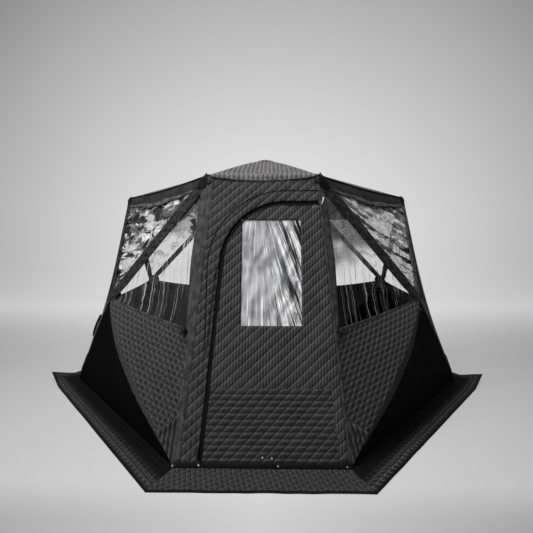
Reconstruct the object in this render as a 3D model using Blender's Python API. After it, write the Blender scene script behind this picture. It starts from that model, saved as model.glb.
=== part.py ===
"""Hub-framed sauna tent: six-sided cabin, five bulging walls, flat door wall, domed roof and ground skirt."""
import math

import bmesh
import bpy
from mathutils import Matrix, Vector

# Plan of the cabin on the ground, measured from the roof hub's axis
DOOR_WALL_WIDTH = 1.090
FRONT_DEPTH = 1.497
SIDE_REACH = 1.945
REAR_WIDTH = 2.052
REAR_DEPTH = 1.836
EAVES_PLAN_SHARE = 0.711

# Heights
FOOT_SEAM_HEIGHT = 0.012
EAVES_HEIGHT = 1.875
PEAK_HEIGHT = 2.250

# How far a wall's hub stands proud of the wall's own plane, and where up the slope it stands
WALL_BULGE = 0.230
WALL_HUB_SHARE = 0.48

# Cloth, clear film and the webbing sewn along the seams
QUILT_THICKNESS = 0.004
FILM_THICKNESS = 0.002
SEAM_RADIUS = 0.008
SEAM_SIDES = 12
SEWN_GAP = 0.0003

# Neighbouring panels lie one above and one below the plane that they share, to pass when a wall folds
WALL_PANEL_STEP = 0.0045
ROOF_PANEL_STEP = 0.0055
PANEL_TIP = 0.030
EAVES_BAND_DEPTH = 0.090
WINDOW_SEAM_SHARE = 0.43

# Poles and the hubs that they turn in
POLE_RADIUS = 0.0055
POLE_SIDES = 12
POLE_SLOT_PLAY = 0.0008
POLE_CORNER_DROP = 0.016
POLE_CORNER_GAP = 0.060
POLE_HUB_DROP = 0.032
HUB_SIDES = 32
HUB_BUTTON_PROUD = 0.006
HUB_RIM_DEPTH = 0.017
HUB_CORE_RADIUS = 0.028
FOLD_PLAY = 0.006
HUB_LAP = 0.022
POLE_PIN_INSET = 0.032

# Skirt that lies on the ground round the cabin
SKIRT_WIDTH = 0.218
SKIRT_THICKNESS = 0.005
SKIRT_HEM_WIDTH = 0.018
SKIRT_HEM_THICKNESS = 0.008
SKIRT_TIP_LIFT = 0.085
SKIRT_TIP_REACH = 0.240

# Door leaf, its window and its zip
DOOR_ZIP_FOOT = 0.389
DOOR_ZIP_LEAN_SHARE = 0.080
DOOR_HEADER = 0.204
DOOR_CORNER_RADIUS = 0.450
DOOR_ARC_STEPS = 12
DOOR_FOOT = 0.024
ZIP_GAP = 0.018
WINDOW_LEFT = 0.142
WINDOW_RIGHT = 0.262
WINDOW_DROP = 0.129
WINDOW_HEIGHT = 0.725
SLIDER_WIDTH = 0.016
SLIDER_LENGTH = 0.034
SLIDER_THICKNESS = 0.007
SLIDER_FOOT = 0.060
PULL_WIDTH = 0.010
PULL_LENGTH = 0.055
PULL_THICKNESS = 0.003

# Stovepipe outlet in the rear roof panel, with its rain flap
JACK_REACH_SHARE = 0.50
JACK_PIPE_RADIUS = 0.062
JACK_RADIUS = 0.125
JACK_THICKNESS = 0.003
JACK_HOLE_RADIUS = 0.090
JACK_SIDES = 32
FLAP_WIDTH = 0.290
FLAP_LENGTH = 0.280
FLAP_THICKNESS = 0.002
FLAP_HINGE_GAP = 0.012

CUT_OVERRUN = 0.050

CORNERS = ("front_left", "front_right", "right", "rear_right", "rear_left", "left")
WALLS = {
    "front_right_wall": ("front_right", "right"),
    "rear_right_wall": ("right", "rear_right"),
    "rear_wall": ("rear_right", "rear_left"),
    "rear_left_wall": ("rear_left", "left"),
    "front_left_wall": ("left", "front_left"),
}
ROOF_PANELS = ("front", "front_right", "rear_right", "rear", "rear_left", "front_left")


def clear_scene():
    for obj in list(bpy.data.objects):
        bpy.data.objects.remove(obj, do_unlink=True)


def make_material(name, colour, roughness, metallic=0.0, alpha=1.0):
    material = bpy.data.materials.new(name)
    material.use_nodes = True
    shader = material.node_tree.nodes["Principled BSDF"]
    shader.inputs["Base Color"].default_value = (*colour, 1.0)
    shader.inputs["Roughness"].default_value = roughness
    shader.inputs["Metallic"].default_value = metallic
    shader.inputs["Alpha"].default_value = alpha
    return material


def add_object(name, mesh, material, frame=None):
    obj = bpy.data.objects.new(name, mesh)
    bpy.context.scene.collection.objects.link(obj)
    obj.data.materials.append(material)
    if frame is not None:
        obj.matrix_world = frame
    return obj


def mesh_from(name, points, faces):
    mesh = bpy.data.meshes.new(name)
    mesh.from_pydata([tuple(point) for point in points], [], faces)
    mesh.update()
    return mesh


def plan_corners():
    """The cabin's corners in plan, with the origin under the middle of the tent's outline."""
    middle = (REAR_DEPTH - FRONT_DEPTH) / 2
    half_door = DOOR_WALL_WIDTH / 2
    half_rear = REAR_WIDTH / 2
    plan = {
        "front_left": (-half_door, -FRONT_DEPTH),
        "front_right": (half_door, -FRONT_DEPTH),
        "right": (SIDE_REACH, 0.0),
        "rear_right": (half_rear, REAR_DEPTH),
        "rear_left": (-half_rear, REAR_DEPTH),
        "left": (-SIDE_REACH, 0.0),
    }
    foot = {key: Vector((x, y - middle, FOOT_SEAM_HEIGHT)) for key, (x, y) in plan.items()}
    eaves = {
        key: Vector((x * EAVES_PLAN_SHARE, y * EAVES_PLAN_SHARE - middle, EAVES_HEIGHT))
        for key, (x, y) in plan.items()
    }
    return foot, eaves, Vector((0.0, -middle, PEAK_HEIGHT))


FOOT, EAVES, PEAK = plan_corners()


def frame_from(origin, along, up):
    """A frame with x along, y up the panel and z along its outward normal."""
    x = along.normalized()
    y = (up - x * up.dot(x)).normalized()
    z = x.cross(y)
    return Matrix(
        (
            (x.x, y.x, z.x, origin.x),
            (x.y, y.y, z.y, origin.y),
            (x.z, y.z, z.z, origin.z),
            (0.0, 0.0, 0.0, 1.0),
        )
    )


def wall_layout(name):
    """A bulging wall's corner loop seen from outside, its hub's apex, outward normal and bulge."""
    left, right = WALLS[name]
    loop = [FOOT[left], FOOT[right], EAVES[right], EAVES[left]]
    low_middle = (FOOT[left] + FOOT[right]) / 2
    high_middle = (EAVES[left] + EAVES[right]) / 2
    normal = (FOOT[right] - FOOT[left]).cross(high_middle - low_middle).normalized()
    seat = low_middle.lerp(high_middle, WALL_HUB_SHARE)
    return loop, seat + normal * WALL_BULGE, normal, WALL_BULGE


def roof_layout():
    loop = [EAVES[key] for key in CORNERS]
    return loop, PEAK, Vector((0.0, 0.0, 1.0)), PEAK_HEIGHT - EAVES_HEIGHT


def panel_geometry(start, end, apex, normal, bulge):
    """Frame on the hinge edge, the apex in it, the angle off the flat and the overshoot when flat."""
    frame = frame_from(start, end - start, apex - start)
    tip = frame.inverted() @ apex
    angle = math.asin(bulge / tip.y)
    overshoot = tip.y - math.sqrt(tip.y**2 - bulge**2)
    return frame, (end - start).length, tip, angle, overshoot


def prism(name, outline, low, high, material, frame):
    """A flat plate over an outline, between two levels of its frame."""
    count = len(outline)
    points = [Vector((x, y, low)) for x, y in outline]
    points += [Vector((x, y, high)) for x, y in outline]
    faces = [tuple(reversed(range(count))), tuple(range(count, 2 * count))]
    for i in range(count):
        j = (i + 1) % count
        faces.append((i, j, count + j, count + i))
    return add_object(name, mesh_from(name, points, faces), material, frame)


def stepped_plate(name, thick, thin, level, material, frame):
    """Quilt and film sewn edge to edge: the thick outline's first edge closes the thin outline."""
    half_thick = QUILT_THICKNESS / 2
    half_thin = FILM_THICKNESS / 2
    points = []

    def add(x, y, offset):
        points.append(Vector((x, y, level + offset)))
        return len(points) - 1

    thick_low = [add(x, y, -half_thick) for x, y in thick]
    thick_high = [add(x, y, half_thick) for x, y in thick]
    thin_low = [add(x, y, -half_thin) for x, y in thin]
    thin_high = [add(x, y, half_thin) for x, y in thin]
    faces = [tuple(reversed(thick_low)), tuple(thick_high)]
    faces += [tuple(reversed(thin_low)), tuple(thin_high)]
    first = (thick_low[0], thin_low[0], thin_high[0], thick_high[0])
    second = (thick_low[1], thin_low[-1], thin_high[-1], thick_high[1])
    faces.append((first[0], second[0], second[1], first[1]))
    faces.append((first[2], second[2], second[3], first[3]))
    count = len(thick)
    for i in range(1, count):
        j = (i + 1) % count
        ahead = first if j == 0 else (thick_low[j], thick_high[j])
        behind = second if i == 1 else (thick_low[i], thick_high[i])
        faces.append((*ahead, *reversed(behind)))
    for i in range(len(thin) - 1):
        faces.append((thin_low[i], thin_low[i + 1], thin_high[i + 1], thin_high[i]))
    return add_object(name, mesh_from(name, points, faces), material, frame)


def edge_inset(level, thickness):
    """How far a panel's hinge edge keeps from the seam's axis, to clear the webbing at every angle."""
    clear = SEAM_RADIUS + SEWN_GAP
    near = max(level - thickness / 2, -level - thickness / 2, 0.0)
    return math.sqrt(clear**2 - min(near, clear) ** 2)


def panel_points(length, tip, inset, cut):
    """A panel's six corners: the hinge edge, both trimmed tips and the end cut short of the hub."""
    left = Vector((tip.x, tip.y)).normalized() * PANEL_TIP
    right = Vector((tip.x - length, tip.y)).normalized() * PANEL_TIP
    share = 1 - cut / tip.y
    return {
        "hinge_start": (PANEL_TIP, inset),
        "hinge_end": (length - PANEL_TIP, inset),
        "end_tip": (length + right.x, right.y),
        "end_cut": (length + (tip.x - length) * share, tip.y * share),
        "start_cut": (tip.x * share, tip.y * share),
        "start_tip": (left.x, left.y),
    }


def plain_panel(name, geometry, level, thickness, cut, material):
    frame, length, tip = geometry[:3]
    points = panel_points(length, tip, edge_inset(level, thickness), cut)
    low = level - thickness / 2
    return prism(name, list(points.values()), low, low + thickness, material, frame)


def side_panel(name, geometry, level, cut, foot_first, material):
    """A wall's side panel: quilt from the foot up to the window's seam, clear film above it."""
    frame, length, tip = geometry[:3]
    points = panel_points(length, tip, edge_inset(level, QUILT_THICKNESS), cut)
    share = WINDOW_SEAM_SHARE if foot_first else 1 - WINDOW_SEAM_SHARE
    edge = Vector((length * share, 0.0))
    to_hub = Vector((tip.x, tip.y)) - edge
    on_hinge = edge + to_hub * (points["hinge_start"][1] / tip.y)
    on_cut = edge + to_hub * (points["end_cut"][1] / tip.y)
    on_hinge = (on_hinge.x, on_hinge.y)
    on_cut = (on_cut.x, on_cut.y)
    ahead = [on_cut, on_hinge, points["hinge_end"], points["end_tip"], points["end_cut"]]
    behind = [on_hinge, on_cut, points["start_cut"], points["start_tip"], points["hinge_start"]]
    quilt, film = (behind, ahead) if foot_first else (ahead, behind)
    start = film.index(quilt[0])
    return stepped_plate(name, quilt, film[start:] + film[:start], level, material, frame)


def top_panel(name, geometry, level, cut, material):
    """A wall's top window: the eaves band of quilt along the hinge edge, clear film below it."""
    frame, length, tip = geometry[:3]
    points = panel_points(length, tip, edge_inset(level, QUILT_THICKNESS), cut)
    share = EAVES_BAND_DEPTH / tip.y
    band_start = (tip.x * share, EAVES_BAND_DEPTH)
    band_end = (length + (tip.x - length) * share, EAVES_BAND_DEPTH)
    band = [band_end, band_start, points["start_tip"], points["hinge_start"]]
    band += [points["hinge_end"], points["end_tip"]]
    film = [band_end, points["end_cut"], points["start_cut"], band_start]
    return stepped_plate(name, band, film, level, material, frame)


def subtract(obj, cutter):
    cutter.hide_render = True
    cutter.display_type = "WIRE"
    modifier = obj.modifiers.new(cutter.name, "BOOLEAN")
    modifier.operation = "DIFFERENCE"
    modifier.solver = "EXACT"
    modifier.object = cutter


def unite(obj, added):
    added.hide_render = True
    added.display_type = "WIRE"
    modifier = obj.modifiers.new(added.name, "BOOLEAN")
    modifier.operation = "UNION"
    modifier.solver = "EXACT"
    modifier.object = added


def turned(name, profile, sides, material, frame):
    """A solid of revolution about its frame's z, from radius and level pairs, low to high."""
    points = []
    for radius, level in profile:
        for k in range(sides):
            angle = 2 * math.pi * k / sides
            points.append(Vector((radius * math.cos(angle), radius * math.sin(angle), level)))
    faces = [tuple(reversed(range(sides)))]
    for ring in range(len(profile) - 1):
        for k in range(sides):
            j = (k + 1) % sides
            low = ring * sides
            faces.append((low + k, low + j, low + sides + j, low + sides + k))
    top = (len(profile) - 1) * sides
    faces.append(tuple(range(top, top + sides)))
    mesh = mesh_from(name, points, faces)
    return add_object(name, mesh, material, frame)


def rods(name, runs, radius, sides, material):
    """Round bars between pairs of points, joined in one object."""
    points = []
    faces = []
    for start, end in runs:
        axis = end - start
        turn = axis.to_track_quat("Z", "Y").to_matrix()
        low = len(points)
        for level in (0.0, axis.length):
            for k in range(sides):
                angle = 2 * math.pi * k / sides
                local = Vector((radius * math.cos(angle), radius * math.sin(angle), level))
                points.append(start + turn @ local)
        faces.append(tuple(low + k for k in reversed(range(sides))))
        faces.append(tuple(low + sides + k for k in range(sides)))
        for k in range(sides):
            j = (k + 1) % sides
            faces.append((low + k, low + j, low + sides + j, low + sides + k))
    return add_object(name, mesh_from(name, points, faces), material)


def outward_offset(plan, index, offset):
    """A corner of the plan moved out by an offset, keeping the sides parallel."""
    before = plan[index - 1]
    here = plan[index]
    after = plan[(index + 1) % len(plan)]
    first = (here - before).to_2d().normalized()
    second = (after - here).to_2d().normalized()
    first_out = Vector((first.y, -first.x))
    second_out = Vector((second.y, -second.x))
    middle = (first_out + second_out).normalized()
    shift = middle * (offset / middle.dot(first_out))
    return Vector((here.x + shift.x, here.y + shift.y, here.z))


def swept_ring(name, stations, section_size, material):
    """A closed band through stations, each a list of section points."""
    points = [point for station in stations for point in station]
    faces = []
    count = len(stations)
    for i in range(count):
        j = (i + 1) % count
        for k in range(section_size):
            m = (k + 1) % section_size
            here = i * section_size
            there = j * section_size
            faces.append((here + k, there + k, there + m, here + m))
    return add_object(name, mesh_from(name, points, faces), material)


def pass_reach(layout, geometry, corner, far_corner):
    """How far a panel's end stays from its tip, to keep to its own side of the next panel when flat."""
    apex, normal, bulge = layout[1:]
    frame, tip = geometry[0], geometry[2]
    origin = frame.to_translation()
    along = frame.to_3x3().col[0]
    inward = normal.cross(along)
    flat_tip = origin + along * tip.x + inward * tip.y
    seat = apex - normal * bulge
    side = normal.cross((corner + far_corner) / 2 - seat)
    near, far = (corner - seat).dot(side), (flat_tip - seat).dot(side)
    if near * far >= 0:
        return 0.0
    crossing = corner.lerp(flat_tip, near / (near - far))
    return (flat_tip - crossing).dot(inward) + FOLD_PLAY


def hub_reach(layout, panels):
    """How far the panels' ends stay from their tips, to clear the hub's core and each other when flat."""
    loop = layout[0]
    reaches = [HUB_CORE_RADIUS + FOLD_PLAY + max(geometry[4] for geometry in panels)]
    for i, geometry in enumerate(panels):
        start, end = loop[i], loop[(i + 1) % len(loop)]
        reaches.append(pass_reach(layout, geometry, start, loop[i - 1]))
        reaches.append(pass_reach(layout, geometry, end, loop[(i + 2) % len(loop)]))
    return max(reaches)


def build_hub(name, layout, panels, step, slots, material):
    """A turned crown under the panels' ends, with a core through them and a slot for each pole."""
    apex, normal = layout[1], layout[2]
    radius = max(hub_reach(layout, panels), HUB_CORE_RADIUS + POLE_PIN_INSET) + HUB_LAP
    steepest = max(geometry[3] for geometry in panels)
    seat = (step + QUILT_THICKNESS / 2) / math.cos(steepest) + SEWN_GAP

    def crown(r):
        return -r * math.tan(steepest) - seat

    slot_depth = POLE_HUB_DROP + POLE_RADIUS
    foot = min(crown(radius), -slot_depth) - HUB_RIM_DEPTH
    chamfer = HUB_RIM_DEPTH / 3
    profile = [
        (radius - chamfer, foot),
        (radius, foot + chamfer),
        (radius, crown(radius)),
        (HUB_CORE_RADIUS, crown(HUB_CORE_RADIUS)),
        (HUB_CORE_RADIUS, HUB_BUTTON_PROUD - chamfer / 2),
        (HUB_CORE_RADIUS - chamfer / 2, HUB_BUTTON_PROUD),
    ]
    frame = frame_from(apex, slots[0], normal.cross(slots[0]))
    hub = turned(name, profile, HUB_SIDES, material, frame)
    half_slot = POLE_RADIUS + POLE_SLOT_PLAY
    inner = HUB_CORE_RADIUS + POLE_SLOT_PLAY
    outer = radius + CUT_OVERRUN
    low = foot - CUT_OVERRUN
    points = []
    faces = []
    for direction in slots:
        local = frame.to_3x3().inverted() @ direction
        heading = Vector((local.x, local.y, 0.0)).normalized()
        side = Vector((-heading.y, heading.x, 0.0)) * half_slot
        ends = (heading * inner, heading * outer)
        base = len(points)
        for level in (low, CUT_OVERRUN):
            for point in (ends[0] - side, ends[1] - side, ends[1] + side, ends[0] + side):
                points.append(point + Vector((0.0, 0.0, level)))
        faces.append((base + 3, base + 2, base + 1, base))
        faces.append((base + 4, base + 5, base + 6, base + 7))
        for k in range(4):
            j = (k + 1) % 4
            faces.append((base + k, base + j, base + 4 + j, base + 4 + k))
    cutter = add_object(name + "_slots", mesh_from(name + "_slots", points, faces), material, frame)
    subtract(hub, cutter)
    return hub


def pole_geometry(corner, layout):
    """A pole's pivot at its corner, its pin at the hub, its turning axis and its sweep."""
    apex, normal, bulge = layout[1:]
    seat = apex - normal * bulge
    heading = (corner - seat - normal * (corner - seat).dot(normal)).normalized()
    pivot = corner - normal * POLE_CORNER_DROP
    pin = apex + heading * (HUB_CORE_RADIUS + POLE_PIN_INSET) - normal * POLE_HUB_DROP
    flat = (pivot - pin).dot(heading)
    rise = (pin - pivot).dot(normal)
    fall = 2 * bulge - rise
    axis = heading.cross(normal)
    return pivot, pin, axis, math.atan(rise / flat) + math.atan(fall / flat)


def build_pole(name, corner, layout, material):
    pivot, pin, axis, sweep = pole_geometry(corner, layout)
    run = pin - pivot
    frame = frame_from(pivot, axis, run.cross(axis))
    reach = run.length + POLE_RADIUS
    profile = [
        (POLE_RADIUS * 0.75, POLE_CORNER_GAP),
        (POLE_RADIUS, POLE_CORNER_GAP + POLE_RADIUS),
        (POLE_RADIUS, reach - POLE_RADIUS / 2),
        (POLE_RADIUS * 0.75, reach),
    ]
    pole = turned(name, profile, POLE_SIDES, material, frame)
    return pole


def fan_panels(layout):
    """The geometry of each panel from a side of the corner loop up to the hub."""
    loop, apex, normal, bulge = layout
    sides = zip(loop, loop[1:] + loop[:1])
    return [panel_geometry(start, end, apex, normal, bulge) for start, end in sides]


def build_wall(name, finishes):
    layout = wall_layout(name)
    loop, apex, normal = layout[:3]
    panels = fan_panels(layout)
    cut = hub_reach(layout, panels)
    bottom, right, top, left = panels
    step = WALL_PANEL_STEP
    plain_panel(name + "_bottom_panel", bottom, step, QUILT_THICKNESS, cut, finishes["plain"])
    top_panel(name + "_top_window", top, step, cut, finishes["film"])
    side_panel(name + "_right_panel", right, -step, cut, True, finishes["quilt"])
    side_panel(name + "_left_panel", left, -step, cut, False, finishes["quilt"])
    slots = []
    for key, corner in zip(("bottom_left", "bottom_right", "top_right", "top_left"), loop):
        build_pole(name + "_" + key + "_pole", corner, layout, finishes["pole"])
        slots.append((corner - apex) - normal * (corner - apex).dot(normal))
    build_hub(name + "_hub", layout, panels, WALL_PANEL_STEP, slots, finishes["plastic"])


def build_roof(finishes):
    layout = roof_layout()
    loop, apex, normal = layout[:3]
    panels = fan_panels(layout)
    cut = hub_reach(layout, panels)
    made = {}
    for i, (side, geometry) in enumerate(zip(ROOF_PANELS, panels)):
        level = ROOF_PANEL_STEP if i % 2 == 0 else -ROOF_PANEL_STEP
        panel = "roof_" + side + "_panel"
        made[side] = plain_panel(panel, geometry, level, QUILT_THICKNESS, cut, finishes["quilt"])
    slots = [(corner - apex) - normal * (corner - apex).dot(normal) for corner in loop]
    build_hub("roof_hub", layout, panels, ROOF_PANEL_STEP, slots, finishes["plastic"])
    return made, panels


def jack_layout(panels):
    """The stovepipe outlet's middle in its roof panel's frame, the panel's face and the flap's hinge."""
    rear = ROOF_PANELS.index("rear")
    frame, length, tip = panels[rear][:3]
    middle = Vector((length / 2, tip.y * JACK_REACH_SHARE, 0.0))
    level = ROOF_PANEL_STEP if rear % 2 == 0 else -ROOF_PANEL_STEP
    face = level + QUILT_THICKNESS / 2
    flap_low = face + SEWN_GAP
    flap_shut_low = face + 2 * SEWN_GAP + JACK_THICKNESS
    hinge_level = (flap_low + flap_shut_low + FLAP_THICKNESS) / 2
    hinge = Vector((middle.x, middle.y - JACK_RADIUS - FLAP_HINGE_GAP, hinge_level))
    return frame, middle, face, hinge


def build_stove_outlet(panel, panels, finishes):
    frame, middle, face, hinge = jack_layout(panels)
    hole = [(JACK_HOLE_RADIUS, -CUT_OVERRUN), (JACK_HOLE_RADIUS, CUT_OVERRUN)]
    placed = frame @ Matrix.Translation(middle)
    subtract(panel, turned("stove_hole", hole, JACK_SIDES, finishes["plain"], placed))
    seat = placed @ Matrix.Translation(Vector((0.0, 0.0, face + SEWN_GAP)))
    plate = [(JACK_RADIUS, 0.0), (JACK_RADIUS, JACK_THICKNESS)]
    jack = turned("stove_jack", plate, JACK_SIDES, finishes["jack"], seat)
    bore = [(JACK_PIPE_RADIUS, -CUT_OVERRUN), (JACK_PIPE_RADIUS, CUT_OVERRUN)]
    subtract(jack, turned("stove_bore", bore, JACK_SIDES, finishes["plain"], seat))
    half = FLAP_WIDTH / 2
    root = FLAP_HINGE_GAP / 2
    outline = [(-half, -FLAP_LENGTH - root), (half, -FLAP_LENGTH - root), (half, -root), (-half, -root)]
    low = face + SEWN_GAP - hinge.z
    at_hinge = frame @ Matrix.Translation(hinge)
    prism("stove_flap", outline, low, low + FLAP_THICKNESS, finishes["jack"], at_hinge)


def build_seam_webbing(material):
    """Webbing sewn round the eaves and down the six corners."""
    plan = [EAVES[key] for key in CORNERS]
    stations = []
    for i in range(len(plan)):
        station = []
        for k in range(SEAM_SIDES):
            angle = 2 * math.pi * k / SEAM_SIDES
            point = outward_offset(plan, i, SEAM_RADIUS * math.cos(angle))
            station.append(point + Vector((0.0, 0.0, SEAM_RADIUS * math.sin(angle))))
        stations.append(station)
    webbing = swept_ring("seam_webbing", stations, SEAM_SIDES, material)
    runs = []
    for i, key in enumerate(CORNERS):
        up = (EAVES[key] - FOOT[key]).normalized()
        # The lower end just clears the rounded foot seams that meet at this corner
        neighbours = (CORNERS[i - 1], CORNERS[(i + 1) % len(CORNERS)])
        lean = max(up.dot((FOOT[other] - FOOT[key]).normalized()) for other in neighbours)
        trim = (SEAM_RADIUS * (1 + lean) + SEWN_GAP) / math.sqrt(1 - lean**2)
        runs.append((EAVES[key], FOOT[key] + up * trim))
    unite(webbing, rods("corner_seams", runs, SEAM_RADIUS, SEAM_SIDES, material))
    return webbing


def skirt_section():
    """Outward offset and height pairs: flat sole, hemmed edge, and the rounded seam at the wall's foot."""
    sole = -SEAM_RADIUS
    steps = SEAM_SIDES // 2
    section = [(sole, 0.0), (SKIRT_WIDTH / 2, 0.0), (SKIRT_WIDTH, 0.0), (SKIRT_WIDTH, SKIRT_HEM_THICKNESS)]
    section.append((SKIRT_WIDTH - SKIRT_HEM_WIDTH, SKIRT_HEM_THICKNESS))
    section.append((SKIRT_WIDTH - SKIRT_HEM_WIDTH, SKIRT_THICKNESS))
    section.append((SKIRT_WIDTH / 2, SKIRT_THICKNESS))
    section.append((SEAM_RADIUS, SKIRT_THICKNESS))
    for k in range(steps + 1):
        angle = math.pi * k / steps
        section.append((SEAM_RADIUS * math.cos(angle), FOOT_SEAM_HEIGHT + SEAM_RADIUS * math.sin(angle)))
    return section


def build_skirt(material):
    """The skirt, mitred at each corner, with its outer tips curled up at the two side corners."""
    plan = [FOOT[key] for key in CORNERS]
    section = skirt_section()
    stations = []

    def ring(place, lift):
        points = []
        for offset, height in section:
            x, y = place(offset)
            share = max(offset, 0.0) / SKIRT_WIDTH
            points.append(Vector((x, y, height + lift * share**2)))
        return points

    def at_corner(i, lift):
        def place(offset):
            moved = outward_offset(plan, i, offset)
            return moved.x, moved.y

        return ring(place, lift)

    def on_side(i, distance):
        """A square section on the side after corner i, or before it for a distance below zero."""
        other = plan[(i + 1) % len(plan)] if distance > 0 else plan[i - 1]
        along = (other - plan[i]).to_2d().normalized()
        out = Vector((along.y, -along.x)) if distance > 0 else Vector((-along.y, along.x))
        base = plan[i].to_2d() + along * abs(distance)
        return ring(lambda offset: tuple(base + out * offset), 0.0)

    for i, key in enumerate(CORNERS):
        if key in ("left", "right"):
            stations.append(on_side(i, -SKIRT_TIP_REACH))
            stations.append(at_corner(i, SKIRT_TIP_LIFT))
            stations.append(on_side(i, SKIRT_TIP_REACH))
        else:
            stations.append(at_corner(i, 0.0))
    return swept_ring("skirt", stations, len(section), material)


def door_frame():
    """The door wall's frame: origin at the middle of its foot seam, x to the right seen from outside."""
    low = (FOOT["front_left"] + FOOT["front_right"]) / 2
    high = (EAVES["front_left"] + EAVES["front_right"]) / 2
    return frame_from(low, FOOT["front_right"] - FOOT["front_left"], high - low), (high - low).length


def seam_x(y, slope, inset):
    """Half the door wall's width at a height up its slope, less an inset square to the corner seam."""
    foot = DOOR_WALL_WIDTH / 2
    lean = foot * (1 - EAVES_PLAN_SHARE) / slope
    return foot - lean * y - inset * math.sqrt(1 + lean**2)


def zip_curve(slope, offset):
    """The zip from its foot up the left side, round the corner and across to the right seam."""
    lean = math.atan(DOOR_ZIP_LEAN_SHARE)
    radius = DOOR_CORNER_RADIUS + offset
    top = slope - DOOR_HEADER + offset
    middle_y = top - radius
    line_x = -DOOR_ZIP_FOOT - offset / math.cos(lean)
    middle_x = line_x + DOOR_ZIP_LEAN_SHARE * middle_y + radius / math.cos(lean)
    points = [(line_x + DOOR_ZIP_LEAN_SHARE * DOOR_FOOT, DOOR_FOOT)]
    for k in range(DOOR_ARC_STEPS + 1):
        angle = math.pi - lean - (math.pi / 2 - lean) * k / DOOR_ARC_STEPS
        points.append((middle_x + radius * math.cos(angle), middle_y + radius * math.sin(angle)))
    return points


def build_door(finishes):
    frame, slope = door_frame()
    half = QUILT_THICKNESS / 2
    inset = SEAM_RADIUS + SEWN_GAP
    outer = zip_curve(slope, ZIP_GAP / 2)
    low = outer[0][1]
    high = slope - inset
    surround = [(-seam_x(low, slope, inset), low)] + outer
    surround.append((seam_x(outer[-1][1], slope, inset), outer[-1][1]))
    surround.append((seam_x(high - PANEL_TIP, slope, inset), high - PANEL_TIP))
    surround.append((seam_x(high, slope, inset + PANEL_TIP), high))
    surround.append((-seam_x(high, slope, inset + PANEL_TIP), high))
    surround.append((-seam_x(high - PANEL_TIP, slope, inset), high - PANEL_TIP))
    prism("door_surround", surround, -half, half, finishes["quilt"], frame)

    hinge = frame @ Matrix.Translation(Vector((DOOR_WALL_WIDTH / 2, 0.0, 0.0)))
    shift = DOOR_WALL_WIDTH / 2
    inner = zip_curve(slope, -ZIP_GAP / 2)
    leaf = [(seam_x(low, slope, inset), low), (seam_x(inner[-1][1], slope, inset), inner[-1][1])]
    leaf += reversed(inner)
    leaf = [(x - shift, y) for x, y in leaf]
    door = prism("door_leaf", leaf, -half, half, finishes["quilt"], hinge)
    gap = SEWN_GAP
    left, right = -WINDOW_LEFT - shift, WINDOW_RIGHT - shift
    window_top = slope - DOOR_HEADER - WINDOW_DROP
    window_foot = window_top - WINDOW_HEIGHT
    hole = [(left - gap, window_foot - gap), (right + gap, window_foot - gap)]
    hole += [(right + gap, window_top + gap), (left - gap, window_top + gap)]
    subtract(door, prism("door_window_hole", hole, -CUT_OVERRUN, CUT_OVERRUN, finishes["plain"], hinge))
    pane = [(left, window_foot), (right, window_foot), (right, window_top), (left, window_top)]
    prism("door_window", pane, -FILM_THICKNESS / 2, FILM_THICKNESS / 2, finishes["film"], hinge)


def slider_frame():
    """The zip slider's frame at its foot, y up the zip's straight run, and the length of its travel."""
    frame, slope = door_frame()
    lean = math.atan(DOOR_ZIP_LEAN_SHARE)
    outer = zip_curve(slope, ZIP_GAP / 2)
    start = Vector((*outer[0], 0.0))
    run = Vector((*outer[1], 0.0)) - start
    out = Vector((-math.cos(lean), math.sin(lean), 0.0)) * (SLIDER_WIDTH / 2 + SEWN_GAP)
    origin = start + run.normalized() * SLIDER_FOOT + out
    placed = frame_from(frame @ origin, frame.to_3x3() @ -out, frame.to_3x3() @ run)
    return placed, run.length - SLIDER_FOOT - SLIDER_LENGTH


def build_slider(material):
    placed = slider_frame()[0]
    low = QUILT_THICKNESS / 2 + SEWN_GAP
    half = SLIDER_WIDTH / 2
    nose = SLIDER_WIDTH / 4
    outline = [(-nose, 0.0), (nose, 0.0), (half, nose), (half, SLIDER_LENGTH - half)]
    outline += [(nose, SLIDER_LENGTH), (-nose, SLIDER_LENGTH), (-half, SLIDER_LENGTH - half), (-half, nose)]
    slider = prism("zip_slider", outline, low, low + SLIDER_THICKNESS, material, placed)
    half = PULL_WIDTH / 2
    top = SLIDER_LENGTH / 2
    foot = top - PULL_LENGTH
    pull = [(-half, foot), (half, foot), (half, top), (-half, top)]
    pull_low = low + SLIDER_THICKNESS - PULL_THICKNESS / 2
    unite(slider, prism("zip_pull", pull, pull_low, pull_low + PULL_THICKNESS, material, placed))


def main():
    clear_scene()
    finishes = {
        "quilt": make_material("quilted_cloth", (0.022, 0.022, 0.024), 0.85),
        "plain": make_material("plain_cloth", (0.010, 0.010, 0.011), 0.75),
        "film": make_material("clear_film", (0.75, 0.77, 0.80), 0.12, alpha=0.35),
        "webbing": make_material("black_webbing", (0.015, 0.015, 0.016), 0.7),
        "pole": make_material("glass_fibre", (0.030, 0.030, 0.032), 0.4),
        "plastic": make_material("hub_nylon", (0.020, 0.020, 0.022), 0.45),
        "jack": make_material("silicone_cloth", (0.12, 0.12, 0.125), 0.55),
        "zip": make_material("zip_metal", (0.20, 0.20, 0.21), 0.35, metallic=1.0),
    }
    for name in WALLS:
        build_wall(name, finishes)
    roof_panels, panels = build_roof(finishes)
    build_stove_outlet(roof_panels["rear"], panels, finishes)
    build_seam_webbing(finishes["webbing"])
    build_skirt(finishes["quilt"])
    build_door(finishes)
    build_slider(finishes["zip"])


main()
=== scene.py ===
import math
from functools import reduce

import bmesh
import bpy
from mathutils import Matrix, Vector, noise


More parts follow.
